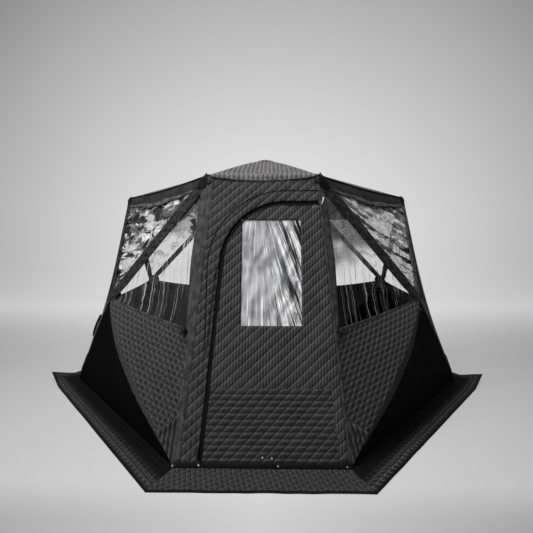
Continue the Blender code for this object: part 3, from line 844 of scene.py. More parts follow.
def bowedRidge(corner, hub, out, share, bow):
    # The curved lower ridge: from the foot corner to the hub, bowed outwards where the pole bends
    return corner.lerp(hub, share) + out * (bow * 4 * share * (1 - share) * (0.55 + 0.9 * share))


def crease(point, scale, height):
    return noise.noise(point * scale) * height


def arch(share):
    # 0 at both ends and 1 in the middle
    return math.sin(math.pi * share)


walls = {
    "frontBow": 0.058,
    "sideBow": 0.010,
    "clothLift": 0.001,
    "bottomHollow": 0.018,
    "quiltBelly": 0.012,
    "filmHollow": 0.010,
    "topHollow": 0.012,
    "bandDepth": 0.088,
    "hemDepth": 0.052,
    "borderStart": 0.010,
    "borderWidth": 0.070,
    "sideBorder": 0.130,
    "bindingWidth": 0.024,
    "pipingRadius": 0.009,
    "patchStart": 0.012,
    "patchReach": 0.11,
    "strapHalf": 0.058,
    "sideStrapHalf": 0.040,
    "eavesSag": 0.018,
    "sillWidth": 0.030,
    "sillSag": 0.010,
    "quiltReach": 0.14,
    "gussetShare": 0.17,
    "pleatDepth": 0.012,
    "filmThickness": 0.0004,
}


def seamPoint(key, share):
    # A corner seam from its foot, at share 0, through the toggle to the eaves, at share 1
    middle = tent["toggleShare"]
    straight = foot[key].lerp(eaves[key], share)
    pulled = toggle[key] - foot[key].lerp(eaves[key], middle)
    part = share / middle if share < middle else (1 - share) / (1 - middle)
    return straight + pulled * (math.sin(part * math.pi / 2) ** 1.3)


def eavesPoint(left, right, u):
    return eaves[left].lerp(eaves[right], u) - Vector((0, 0, walls["eavesSag"] * arch(u)))


def ridgeBow(key):
    return walls["frontBow"] if isFront(key) else walls["sideBow"]


def makeWall(name):
    left, right, base, along, up, out, hub = wallFrame(name)
    hand = "Left" if isFront(left) else "Right"
    weave = (base, along, up)
    apex = hub + out * walls["clothLift"]
    middle = tent["toggleShare"]
    bottomBody, topBody = name + "_bottom_panel", name + "_top_window"

    # Bottom panel, with both ridges bowed and the quilt's edge kept as a distance
    def bottomPlace(u, v):
        low = foot[left].lerp(foot[right], u)
        side = [bowedRidge(foot[key], apex, out, v, ridgeBow(key)) for key in (left, right)]
        point = side[0].lerp(side[1], u)
        belly = arch(u) * arch(min(1.0, v * 1.05))
        return point + out * (-walls["bottomHollow"] * belly + crease(low + point, 5.0, 0.006) * belly)

    def insideQuilt(point):
        # How far a point lies inside the quilted edge beside a front ridge
        gaps = []
        for key in (left, right):
            ridge = apex - foot[key]
            share = max(0.0, min(1.0, (point - foot[key]).dot(ridge) / ridge.length_squared))
            stray = point - foot[key] - ridge * share
            reach = -0.01
            if isFront(key):
                reach = walls["quiltReach"] * (arch(min(1.0, share ** 1.3)) ** 0.9)
            gaps.append(reach - (stray - out * stray.dot(out)).length)
        return max(gaps)

    bottom = clothPatch(name + "_bottom_cloth", (96, 64), bottomPlace, weave)
    store = bottom.data.attributes.new("edgeDistance", "FLOAT", "POINT")
    store.data.foreach_set("value", [insideQuilt(vert.co) for vert in bottom.data.vertices])
    stands = {"replaced": [bottomBody], "restsOn": ["skirt"]}
    finishCloth(bottom, bottomBody, "bottomPanel" + hand, "plain_cloth", **stands)

    # Side panels: quilt below the sill, clear film above it
    for side, key in (("_right", right), ("_left", left)):
        body = name + side + "_panel"

        def orient(u):
            # Across the patch from the left as seen from outside
            return u if side == "_right" else 1 - u

        def quiltPlace(u, v):
            u = orient(u)
            low = bowedRidge(foot[key], apex, out, 1 - u, ridgeBow(key))
            edge = seamPoint(key, v * middle) - foot[key].lerp(toggle[key], v)
            point = low.lerp(apex.lerp(toggle[key], u), v) + edge * u ** 3
            belly = arch(u) * arch(v)
            return point + out * (walls["quiltBelly"] * belly + crease(point, 7.0, 0.004) * belly)

        def filmPlace(u, v):
            u = orient(u)
            point = apex.lerp(toggle[key], u).lerp(apex.lerp(eaves[key], u), v)
            seam = seamPoint(key, middle + v * (1 - middle))
            point += (seam - toggle[key].lerp(eaves[key], v)) * u ** 3
            wave = crease(point, 16.0, 0.010) + crease(point, 40.0, 0.004)
            return point + out * (wave - walls["filmHollow"]) * min(1.0, arch(u) * arch(v) * 3)

        stands = {"replaced": [body], "restsOn": ["seam_webbing"]}
        look = "sideQuilt" + side[1:].capitalize()
        sewCloth(name + side + "_quilt", (56, 56), quiltPlace, weave, body, look, "quilt", **stands)
        film = {"foldMap": True, "thickness": walls["filmThickness"], "restsOn": ["seam_webbing"]}
        sewCloth(name + side + "_film", (64, 64), filmPlace, weave, body, "sideFilm" + hand, "film", **film)

        # Sill band over the joint from the hub to the toggle, and the border strip up the corner seam
        def sillPlace(u, v):
            u = orient(u)
            drop = walls["sillWidth"] * (0.6 - v)
            fall = Vector((0, 0, -1)) * (drop + walls["sillSag"] * arch(u))
            return apex.lerp(toggle[key], u) + fall + out * (0.0045 + 0.002 * arch(v))

        look = ("borderCloth", "quilt")
        sewCloth(name + side + "_sill", (48, 4), sillPlace, weave, body, *look, restsOn=[body])

        def borderPlace(u, v):
            u = orient(u)
            seam = seamPoint(key, middle + v * (1 - middle))
            start = walls["borderStart"]
            width = walls["borderWidth"] if isFront(key) else walls["sideBorder"]
            reach = width * min(1.0, (0.45 if isFront(key) else 0.75) + v * 1.2)
            point = seam + (apex - seam).normalized() * (start + (1 - u) * (reach - start))
            return point + out * (0.004 + 0.0025 * arch(u))

        look = "paleCloth" if key == "right" else "borderCloth"
        sewCloth(name + side + "_border", (6, 40), borderPlace, weave, body, look, "quilt", restsOn=[body])

        # Pleated foot gusset in the corner of the quilt
        def gussetPlace(u, v):
            u = orient(u)
            share = walls["gussetShare"]
            ridge = bowedRidge(foot[key], apex, out, share * v, ridgeBow(key))
            point = ridge.lerp(seamPoint(key, share * 0.86 * v), u)
            pleat = abs(math.sin(u * math.pi * 4)) ** 0.6
            # Kept flat beside the door, clear of the swinging leaf
            fullness = min(1.0, 4 * (1 - u)) if key == "front_right" else 1.0
            return point + out * (0.003 + walls["pleatDepth"] * pleat * v * fullness)

        gathered = {"held": "gathered", "restsOn": [body]}
        look = ("pleatQuilt", "quilt")
        sewCloth(name + side + "_gusset", (40, 16), gussetPlace, weave, body, *look, **gathered)

    # Top window: film, the eaves band over it and half a strap along each upper ridge
    def topPlace(u, v):
        point = apex.lerp(eavesPoint(left, right, u), v)
        wave = crease(point, 13.0, 0.016) + crease(point, 34.0, 0.006)
        return point + out * (wave - walls["topHollow"]) * min(1.0, arch(u) * arch(v) * 3)

    look = "rearFilm" if name.startswith("rear") else "topFilm" + hand
    film = {"foldMap": True, "thickness": walls["filmThickness"]}
    film.update({"replaced": [topBody], "restsOn": ["seam_webbing"]})
    sewCloth(name + "_top_film", (80, 72), topPlace, weave, topBody, look, "film", **film)

    def bandPlace(u, v):
        edge = eavesPoint(left, right, u)
        share = walls["bandDepth"] / abs((apex - (eaves[left] + eaves[right]) / 2).length)
        sag = 1.0 + 0.25 * arch(u) + 0.10 * math.sin(u * 17.0) * arch(u)
        point = edge + (apex - edge) * (share * (1 - v) * sag)
        return point + out * (0.004 + 0.004 * arch(v) + crease(point, 9.0, 0.004))

    draped = {"held": "draped", "restsOn": ["seam_webbing"]}
    sewCloth(name + "_eaves_band", (72, 10), bandPlace, weave, topBody, "bandCloth", "quilt", **draped)

    def hemPlace(u, v):
        # A lighter strip that hangs out of the band's lower edge
        low = bandPlace(u, 0.0)
        depth = 0.006 + walls["hemDepth"] * arch(u) ** 0.5 * (0.8 + 0.2 * math.sin(u * 23.0))
        return low + (apex - low).normalized() * (depth * (1 - v) - 0.004) + out * (0.001 + 0.003 * arch(v))

    draped = {"held": "draped", "restsOn": [name + "_eaves_band"]}
    sewCloth(name + "_eaves_hem", (72, 4), hemPlace, weave, topBody, "sagCloth", "quilt", **draped)

    for side, key, other in (("_right", right, left), ("_left", left, right)):
        look = "sagCloth" if key == "right" else "strapCloth"
        halves = (("_upper", topBody, eaves[other]), ("_lower", name + side + "_panel", toggle[key]))
        for part, carrier, aim in halves:
            outside = (side == "_right") == (part == "_lower")

            def strapPlace(u, v):
                # From the hub up to the eaves corner, spread to one side of the ridge
                u = u if outside else 1 - u
                v = 1 - v
                point = eaves[key].lerp(apex, v)
                run = (apex - eaves[key]).normalized()
                spread = aim - point
                spread = (spread - run * spread.dot(run)).normalized()
                half = walls["strapHalf"] if isFront(key) else walls["sideStrapHalf"]
                width = half * (0.75 + 0.25 * min(1.0, (1 - v) * 6))
                return point + spread * (u * width) + out * (0.006 + 0.002 * arch(u))

            strapName = name + side + part + "_strap"
            sewCloth(strapName, (6, 60), strapPlace, weave, carrier, look, "webbing", restsOn=[carrier])


def makeSeamBinding():
    # A folded strip over each corner seam and along each eaves seam, in place of the plain webbing
    half = walls["bindingWidth"] / 2
    for index, key in enumerate(cornerOrder):
        after = cornerAfter(index)
        outward = Vector((foot[key].x - peak.x, foot[key].y - peak.y, 0)).normalized()
        sideways = Vector((-outward.y, outward.x, 0))

        def seamPlace(u, v):
            angle = (u - 0.5) * math.pi * 1.1
            point = seamPoint(key, 0.006 + 0.982 * v)
            across, forward = math.sin(angle) * half, math.cos(angle) * half * 0.75 - 0.002
            return point + sideways * across + outward * forward

        look = "borderCloth" if isFront(key) else "bindingCloth"
        if key == "right":
            look = "paleCloth"
        weave = (foot[key], sideways, upright)
        stands = {"replaced": ["seam_webbing"] if index == 0 else [], "restsOn": ["skirt"]}
        sewCloth(key + "_corner_binding", (6, 90), seamPlace, weave, "tent_base", look, "webbing", **stands)

        if key == "front_left":
            # The roof's hanging edge covers the seam over the door
            continue
        along = (eaves[after] - eaves[key]).normalized()
        front = Vector((along.y, -along.x, 0))

        def pipingPlace(u, v):
            angle = (u - 0.35) * math.pi * 1.1
            radius = walls["pipingRadius"]
            rise = Vector((0, 0, math.sin(angle) * radius))
            return eavesPoint(key, after, v) + front * (math.cos(angle) * radius) + rise

        weave = (eaves[key], upright, along)
        rests = [key + "_corner_binding"]
        pipingName = key + "_eaves_binding"
        look = ("bindingCloth", "webbing")
        sewCloth(pipingName, (6, 90), pipingPlace, weave, "tent_base", *look, restsOn=rests)


def makeCornerPatches():
    # Dark reinforcement where a strap meets the eaves, over film and strap
    for name in wallEnds:
        left, right, base, along, up, out, hub = wallFrame(name)
        for key, other in ((left, right), (right, left)):

            def patchPlace(u, v):
                u = u if key == left else 1 - u
                run = (hub - eaves[key]).normalized()
                beside = (toggle[key] - eaves[key]).normalized()
                across = (eaves[other] - eaves[key]).normalized()
                reach = walls["patchReach"] * (0.55 + 0.45 * arch(u))
                aim = beside.lerp(run, min(1.0, u * 2)) if u < 0.5 else run.lerp(across, (u - 0.5) * 2)
                start = eaves[key] + aim.normalized() * (walls["patchStart"] + reach * v)
                return start + out * (0.012 - 0.004 * v)

            body, weave, rests = name + "_top_window", (base, along, up), [name + "_eaves_band"]
            patchName = name + "_" + key + "_patch"
            sewCloth(patchName, (12, 6), patchPlace, weave, body, "bindingCloth", "webbing", restsOn=rests)


for wallName in wallEnds:
    makeWall(wallName)
makeSeamBinding()
makeCornerPatches()
print("walls made")


roof = {
    "frontBow": 0.013,
    "sag": 0.016,
    "lift": 0.007,
    "valance": 0.034,
    "capRadius": 0.120,
    "capLift": 0.0085,
}


def ridgePoint(key, share):
    # From the eaves corner at share 0 to the peak at share 1, bent by its pole
    bow = roof["frontBow"] if isFront(key) else 0.0
    rounding = 0.006 * max(0.0, (share - 0.86) / 0.14) ** 1.6
    return eaves[key].lerp(peak, share) + Vector((0, 0, bow * math.sin(math.pi * share ** 1.15) - rounding))


def onRoof(left, right, u, v):
    # A roof cloth's surface: u from its left ridge to its right one, v from the eaves to the peak
    point = ridgePoint(left, v).lerp(ridgePoint(right, v), u)
    hang = arch(u)
    point += Vector((0, 0, -roof["sag"] * hang * math.sin(math.pi * min(1.0, 0.25 + v * 0.75))))
    low = walls["eavesSag"] * hang * (1 - v) ** 2
    return point + Vector((0, 0, roof["lift"] - low + crease(point, 9.0, 0.004) * hang))


def cutPipeHole(cloth):
    low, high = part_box("stove_jack")
    middle = (low + high) / 2
    reach = (high.x - low.x) / 2 * 0.86
    work = bmesh.new()
    work.from_mesh(cloth.data)
    inside = [vert for vert in work.verts if (vert.co - middle).to_2d().length < reach]
    bmesh.ops.delete(work, geom=inside, context="VERTS")
    work.to_mesh(cloth.data)
    work.free()


def makeRoof():
    for index, side in enumerate(roofSides):
        left, right = cornerOrder[index], cornerAfter(index)
        middle = (eaves[left] + eaves[right]) / 2
        along = (eaves[right] - eaves[left]).normalized()
        up = peak - middle
        up = (up - along * up.dot(along)).normalized()
        body = "roof_" + side + "_panel"

        def roofPlace(u, v):
            return onRoof(left, right, u, v)

        cloth = clothPatch("roof_" + side + "_cloth", (72, 72), roofPlace, (middle, along, up))
        if side == "rear":
            cutPipeHole(cloth)
        finishCloth(cloth, body, "roofQuilt", "quilt", replaced=[body], restsOn=["seam_webbing"])


def makeValance():
    # Hangs in a shallow curve below the eaves, over the top of the door wall
    left, right = eaves["front_left"], eaves["front_right"]
    weave = (left, rightward, upright)
    body = "roof_front_panel"

    def valancePlace(u, v):
        point = left.lerp(right, 0.012 + 0.976 * u)
        drop = 0.006 + roof["valance"] * arch(u) ** 0.8
        height = 0.014 * v - drop * (1 - v)
        return point + Vector((0, -0.0145 - 0.002 * (1 - v) + 0.020 * v ** 6, height))

    hung = {"held": "hung", "restsOn": ["roof_front_cloth"]}
    sewCloth("roof_front_valance", (80, 8), valancePlace, weave, body, "valanceQuilt", "quilt", **hung)

    def edgePlace(u, v):
        return valancePlace(u, 0.0) + Vector((0, -0.003 - 0.001 * v, -0.003 + 0.007 * v))

    hung = {"held": "hung", "restsOn": ["roof_front_valance"]}
    sewCloth("roof_valance_edge", (80, 2), edgePlace, weave, body, "borderCloth", "webbing", **hung)


def makeRoofCap():
    # Round patch over the peak, cut into one wedge for each panel so that it follows the folding roof
    for index, side in enumerate(roofSides):
        left, right = eaves[cornerOrder[index]], eaves[cornerAfter(index)]
        ends = [(corner - peak).to_2d() for corner in (left, right)]
        along = (right - left).normalized()
        weave = ((left + right) / 2, along, upright.cross(along))
        start = math.atan2(ends[0].y, ends[0].x)
        sweep = ends[1].angle_signed(ends[0])

        def capPlace(u, v):
            angle = start + sweep * u
            radius = roof["capRadius"] * (1 - v)
            drop = 0.08 * radius + 1.85 * radius * radius
            return peak + Vector((math.cos(angle) * radius, math.sin(angle) * radius, roof["capLift"] - drop))

        body, rests = "roof_" + side + "_panel", ["roof_" + side + "_cloth"]
        capName = "roof_" + side + "_cap"
        sewCloth(capName, (10, 10), capPlace, weave, body, "roofQuilt", "quilt", restsOn=rests)


roofPoles = {"radius": 0.0055, "below": 0.015, "from": 0.04, "to": 0.94}


def makeRoofPoles():
    # A glass fibre pole under each ridge, from its eaves corner to the roof hub
    for side, key in zip(roofSides, cornerOrder):
        run = (peak - eaves[key]).normalized()
        sideways = run.cross(upright).normalized()
        lift = sideways.cross(run)

        def polePlace(u, v):
            angle = -2 * math.pi * u
            spot = ridgePoint(key, roofPoles["from"] + (roofPoles["to"] - roofPoles["from"]) * v)
            ring = (sideways * math.cos(angle) + lift * math.sin(angle)) * roofPoles["radius"]
            return spot - lift * roofPoles["below"] + ring

        pole = clothPatch("roof_" + key + "_pole", (10, 40), polePlace, (peak, sideways, run))
        mergePoints(pole)
        smoothen(pole)
        pole.data.materials.append(materials["poleFibre"])
        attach(pole, "roof_" + side + "_panel")


outlet = {"pipeRadius": 0.062, "rimLift": 0.007, "rimWidth": 0.007, "hingeReach": 0.024}


def makeOutlet():
    # Heat-proof ring round the stovepipe hole, and the flap that lies open down the slope
    left, right = eaves["rear_right"], eaves["rear_left"]
    middle = (left + right) / 2
    along = (right - left).normalized()
    up = (peak - middle).normalized()
    normal = along.cross(up)
    weave = (middle, along, up)
    rests = ["roof_rear_cloth"]
    low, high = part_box("stove_jack")
    ring = (low + high) / 2 - middle
    ringX, ringY, ringRadius = ring.dot(along), ring.dot(up), (high.x - low.x) / 2

    def onRear(x, y, lift):
        v = y / (peak - middle).length
        u = 0.5 + x / ((right - left).length * (1 - v))
        return onRoof("rear_right", "rear_left", u, v) + normal * lift

    def ringPlace(u, v):
        angle = 2 * math.pi * u
        radius = ringRadius + (outlet["pipeRadius"] - ringRadius) * v
        inner = (radius - outlet["pipeRadius"]) / outlet["rimWidth"]
        lift = 0.004 + outlet["rimLift"] * math.exp(-(inner - 1) ** 2)
        return onRear(ringX + math.cos(angle) * radius, ringY + math.sin(angle) * radius, lift)

    stands = {"replaced": ["stove_jack"], "restsOn": rests}
    look = ("jackCloth", "silicone_cloth")
    sewCloth("stove_outlet_ring", (64, 14), ringPlace, weave, "roof_rear_panel", *look, **stands)

    low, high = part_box("stove_flap")
    flap = (low + high) / 2 - middle
    halfWidth, halfLength = (high.x - low.x) / 2, (high.y - low.y) / 2 / abs(up.y)

    def flapPlace(u, v):
        x = flap.dot(along) + halfWidth * (2 * u - 1)
        edge = min(1.0, 12 * min(u, 1 - u), 12 * v)
        return onRear(x, flap.dot(up) + halfLength * (2 * v - 1), 0.0045 + 0.002 * edge)

    stands = {"held": "laid", "replaced": ["stove_flap"], "restsOn": rests}
    sewCloth("stove_flap_cloth", (40, 40), flapPlace, weave, "stove_flap", *look, **stands)

    def hingePlace(u, v):
        x = flap.dot(along) + halfWidth * (2 * u - 1)
        return onRear(x, flap.dot(up) + halfLength + outlet["hingeReach"] * (v - 0.35), 0.0085 - 0.006 * v)

    look = ("bandCloth", "webbing")
    sewCloth("stove_flap_hinge", (40, 3), hingePlace, weave, "roof_rear_panel", *look, restsOn=rests)


makeRoof()
makeValance()
makeRoofCap()
makeRoofPoles()
makeOutlet()
print("roof made")


skirt = {
    "width": 0.217,
    "lift": 0.085,
    "tipReach": 0.24,
    "thickness": 0.004,
    "hem": 0.014,
    "hemThickness": 0.0058,
    "wave": 0.0035,
    "waveScale": 5,
}


def offsetCorner(index, offset):
    plan = [foot[key] for key in cornerOrder]
    here = plan[index]
    first = (here - plan[index - 1]).to_2d().normalized()
    second = (foot[cornerAfter(index)] - here).to_2d().normalized()
    firstOut = Vector((first.y, -first.x))
    middle = (firstOut + Vector((second.y, -second.x))).normalized()
    return here.to_2d() + middle * (offset / middle.dot(firstOut))


def skirtPoint(index, u, offset):
    following = (index + 1) % len(cornerOrder)
    start, end = offsetCorner(index, offset), offsetCorner(following, offset)
    spot = start.lerp(end, u)
    length = (end - start).length
    height = 0.0
    for key, away in ((cornerOrder[index], u * length), (cornerOrder[following], (1 - u) * length)):
        if key in ("left", "right"):
            share = max(0.0, 1 - away / skirt["tipReach"])
            height += skirt["lift"] * share * (max(0.0, offset) / skirt["width"]) ** 2
    swing = Vector((spot.x * skirt["waveScale"], spot.y * skirt["waveScale"], 0.3))
    return spot, height, abs(noise.noise(swing)) * skirt["wave"] * 2


def makeSkirt():
    for index, side in enumerate(roofSides):
        start = foot[cornerOrder[index]]
        along = (foot[cornerAfter(index)] - start).normalized()
        weave = (start, along, upright.cross(along))

        def skirtPlace(u, v):
            spot, height, wave = skirtPoint(index, u, -0.004 + (skirt["width"] - 0.004) * (1 - v))
            rise = 0.010 * max(0.0, 1 - (1 - v) * 7)
            return Vector((spot.x, spot.y, skirt["thickness"] + 0.0008 + height + rise + wave * (1 - v)))

        # The first one stands for the whole skirt solid
        laid = {"held": "laid", "thickness": skirt["thickness"], "restsOn": ["floor"]}
        laid["replaced"] = ["skirt"] if index == 0 else []
        look = "skirtQuilt" if side == "front" else "skirtSideQuilt"
        sewCloth("skirt_" + side + "_cloth", (110, 16), skirtPlace, weave, "tent_base", look, "quilt", **laid)

        def hemPlace(u, v):
            # The bound edge wraps over the skirt's rim
            spot, height, wave = skirtPoint(index, u, skirt["width"] - skirt["hem"] * v + 0.001)
            top = skirt["thickness"] + 0.0030 + height + wave - 0.002 * (1 - v)
            return Vector((spot.x, spot.y, top))

        laid = {"held": "laid", "thickness": skirt["hemThickness"], "restsOn": ["floor"]}
        look = ("bindingCloth", "webbing")
        sewCloth("skirt_" + side + "_hem", (110, 3), hemPlace, weave, "tent_base", *look, **laid)


makeSkirt()
print("skirt made")


door = {
    "zipFoot": 0.389,
    "lean": 0.080,
    "header": 0.204,
    "radius": 0.450,
    "low": 0.024,
    "gap": 0.018,
    "seamInset": 0.0085,
    "windowLeft": -0.142,
    "windowRight": 0.262,
    "windowDrop": 0.129,
    "windowHeight": 0.725,
    "windowLap": 0.004,
    "crossSeam": 0.462,
    "flapWidth": 0.075,
    "flapFrom": 0.30,
    "flapHem": 0.006,
    "sliderRoom": 0.020,
    "coilOuter": 0.0088,
    "coilInner": 0.0008,
    "coilEnd": 0.98,
    "teeth": 400,
    "tape": 0.030,
    "leftStrip": 0.034,
    "rightStrip": 0.055,
    "bound": 0.010,
    "cornerShare": 0.60,
    "topShare": 0.93,
}
doorBase = (foot["front_left"] + foot["front_right"]) / 2
doorHead = (eaves["front_left"] + eaves["front_right"]) / 2
doorUp = (doorHead - doorBase).normalized()
doorOut = rightward.cross(doorUp)
doorSlope = (doorHead - doorBase).length
doorTop = doorSlope - door["header"]
doorWeave = (doorBase, rightward, doorUp)
halfGap = door["gap"] / 2


def onDoor(x, y, out=0.0):
    return doorBase + rightward * x + doorUp * y + doorOut * out


def doorCloth(name, cells, place, body, material, slot, **finish):
    return sewCloth(name, cells, place, doorWeave, body, material, slot, **finish)


def doorEdge(y):
    return tent["halfDoorWall"] * (1 - (1 - tent["eavesShare"]) * y / doorSlope) - door["seamInset"]


def zipShape(offset):
    # The lean, the radius and middle of the corner, and where the straight part meets the foot
    lean = math.atan(door["lean"])
    radius = door["radius"] + offset
    middleY = doorTop + offset - radius
    lineX = -door["zipFoot"] - offset / math.cos(lean)
    middleX = lineX + door["lean"] * middleY + radius / math.cos(lean)
    return lean, radius, middleX, middleY, lineX


def zipPath(offset):
    # The zip from its foot up the left side, round the corner and across to the right seam
    lean, radius, middleX, middleY, lineX = zipShape(offset)
    straight = [door["low"] + (middleY - door["low"]) * k / 30 for k in range(30)]
    points = [(lineX + door["lean"] * y, y) for y in straight]
    for k in range(40):
        angle = math.pi - lean - (math.pi / 2 - lean) * k / 39
        points.append((middleX + radius * math.cos(angle), middleY + radius * math.sin(angle)))
    top = doorTop + offset
    end = doorEdge(top)
    return points + [(middleX + (end - middleX) * k / 12, top) for k in range(1, 13)]


def alongPath(points, share):
    lengths = [0.0]
    for first, second in zip(points, points[1:]):
        lengths.append(lengths[-1] + math.dist(first, second))
    target = share * lengths[-1]
    for k in range(len(points) - 1):
        if lengths[k + 1] >= target or k == len(points) - 2:
            part = (target - lengths[k]) / max(1e-9, lengths[k + 1] - lengths[k])
            return Vector(points[k]).lerp(Vector(points[k + 1]), max(0.0, min(1.0, part)))


def between(first, second, u, v):
    # A spot between two paths
    return alongPath(first, v).lerp(alongPath(second, v), u)


def doorLeft(y):
    # The leaf's free edge at a height
    lean, radius, middleX, middleY, lineX = zipShape(-halfGap)
    if y < middleY + radius * math.sin(math.pi - lean):
        return lineX + door["lean"] * y
    return middleX - math.sqrt(max(0.0, radius ** 2 - (y - middleY) ** 2))


def flapReach(v):
    # The rain flap's outer edge, narrow at its foot
    return halfGap + door["flapWidth"] * min(1.0, 0.36 + v * 1.9)


def makeDoorSurround():
    inner = zipPath(halfGap)
    low, insideTop = door["low"], doorSlope - door["seamInset"]
    cornerShare, topShare = door["cornerShare"], door["topShare"]
    outer = [(-doorEdge(low), low), (-doorEdge(insideTop), insideTop), (doorEdge(insideTop), insideTop)]
    outer.append((doorEdge(doorTop), doorTop + halfGap))
    outer = [Vector(spot) for spot in outer]

    def outerPoint(share):
        if share < cornerShare:
            return outer[0].lerp(outer[1], share / cornerShare)
        if share < topShare:
            return outer[1].lerp(outer[2], (share - cornerShare) / (topShare - cornerShare))
        return outer[2].lerp(outer[3], (share - topShare) / 0.07)

    def surroundPlace(u, v):
        spot = outerPoint(v).lerp(alongPath(inner, v), u)
        belly = math.sin(math.pi * min(1.0, u * 1.14))
        wave = crease(Vector((spot.x, spot.y, 0)), 9.0, 0.004) * belly
        return onDoor(spot.x, spot.y, 0.002 + 0.006 * belly + wave)

    stands = {"replaced": ["door_surround"], "restsOn": ["seam_webbing"]}
    doorCloth("door_surround_cloth", (24, 160), surroundPlace, "tent_base", "stripQuilt", "quilt", **stands)

    def flapPlace(u, v):
        # The rain flap over the zip's curve, kept off the slider's straight run
        share = door["flapFrom"] + (1 - door["flapFrom"]) * v
        room = door["sliderRoom"] * (1 - min(1.0, max(0.0, (share - 0.52) / 0.05)))
        spot = alongPath(zipPath(flapReach(v)), share).lerp(alongPath(zipPath(halfGap + room), share), u)
        return onDoor(spot.x, spot.y, 0.0095 + 0.003 * arch(u))

    rests = {"restsOn": ["door_surround_cloth"]}
    doorCloth("door_rain_flap", (8, 110), flapPlace, "tent_base", "stripQuilt", "quilt", **rests)

    def flapEdgePlace(u, v):
        share = door["flapFrom"] + (1 - door["flapFrom"]) * v
        spot = alongPath(zipPath(flapReach(v) + door["flapHem"] * (1 - u)), share)
        return onDoor(spot.x, spot.y, 0.0130 + 0.002 * arch(u))

    edge = ("bindingCloth", "webbing")
    doorCloth("door_flap_edge", (4, 110), flapEdgePlace, "tent_base", *edge, restsOn=["door_rain_flap"])

    flapPaths = zipPath(halfGap + door["tape"]), zipPath(-halfGap - door["tape"])

    def draughtPlace(u, v):
        spot = between(*flapPaths, u, v)
        return onDoor(spot.x, spot.y, -0.012)

    doorCloth("door_draught_flap", (4, 110), draughtPlace, "tent_base", *edge, **rests)

    def footPlace(u, v):
        # Dark band along the foot of the door wall, from the skirt up to the leaf
        x = (2 * u - 1) * (doorEdge(0.0) + 0.004)
        return onDoor(x, -0.006 + 0.034 * v, 0.0105 - 0.004 * v + 0.002 * arch(v))

    doorCloth("door_foot_band", (60, 4), footPlace, "tent_base", *edge, restsOn=["skirt_front_cloth"])

    # Zip coil in two halves, one on the surround and one on the leaf
    for part, carrier, hand in (("fixed", "tent_base", 1.0), ("leaf", "door_leaf", -1.0)):
        paths = [zipPath(hand * offset) for offset in (door["coilOuter"], door["coilInner"])]

        def coilPlace(u, v):
            across = u if hand > 0 else 1 - u
            # The leaf's half stops short of the hinge seam, clear of the tag there
            spot = between(*paths, across, v if hand > 0 else v * door["coilEnd"])
            tooth = abs(math.sin(v * math.pi * door["teeth"])) * across
            return onDoor(spot.x, spot.y, -0.004 + 0.0025 * tooth)

        coilName = "door_zip_" + part + "_coil"
        doorCloth(coilName, (3, 1600), coilPlace, carrier, *edge, thickness=0.001, **rests)

    # Plain strip up the left corner seam
    def stripPlace(u, v):
        y = low + (insideTop - low) * v
        return onDoor(-doorEdge(y) + door["leftStrip"] * u, y, 0.0060 + 0.003 * arch(u))

    doorCloth("door_left_strip", (5, 60), stripPlace, "tent_base", "borderCloth", "quilt", **rests)


def leafLines():
    # The leaf's grid: heights from its foot to its top, and at each height the places across it
    windowTop = doorTop - door["windowDrop"]
    windowLow = windowTop - door["windowHeight"]
    rows, columns = (40, 36, 18), (10, 22, 14)
    total, span = sum(columns), doorTop - halfGap - windowTop
    heights = [door["low"] + (windowLow - door["low"]) * k / rows[0] for k in range(rows[0])]
    heights += [windowLow + (windowTop - windowLow) * k / rows[1] for k in range(rows[1])]
    heights += [windowTop + span * math.sin(math.pi / 2 * k / rows[2]) for k in range(rows[2] + 1)]
    lines = []
    for y in heights:
        start, end = doorLeft(y), doorEdge(y)
        share = max(0.0, (y - windowTop) / span)
        cuts = [start, door["windowLeft"], door["windowRight"], end]
        for k, part in ((1, columns[0] / total), (2, (columns[0] + columns[1]) / total)):
            even = start + (end - start) * part
            cuts[k] = cuts[k] + (even - cuts[k]) * share
        line = []
        for k, count in enumerate(columns):
            line += [cuts[k] + (cuts[k + 1] - cuts[k]) * j / count for j in range(count)]
        lines.append([(x, y) for x in line + [cuts[3]]])
    window = (range(rows[0], rows[0] + rows[1]), range(columns[0], columns[0] + columns[1]))
    return lines, window, windowLow, windowTop


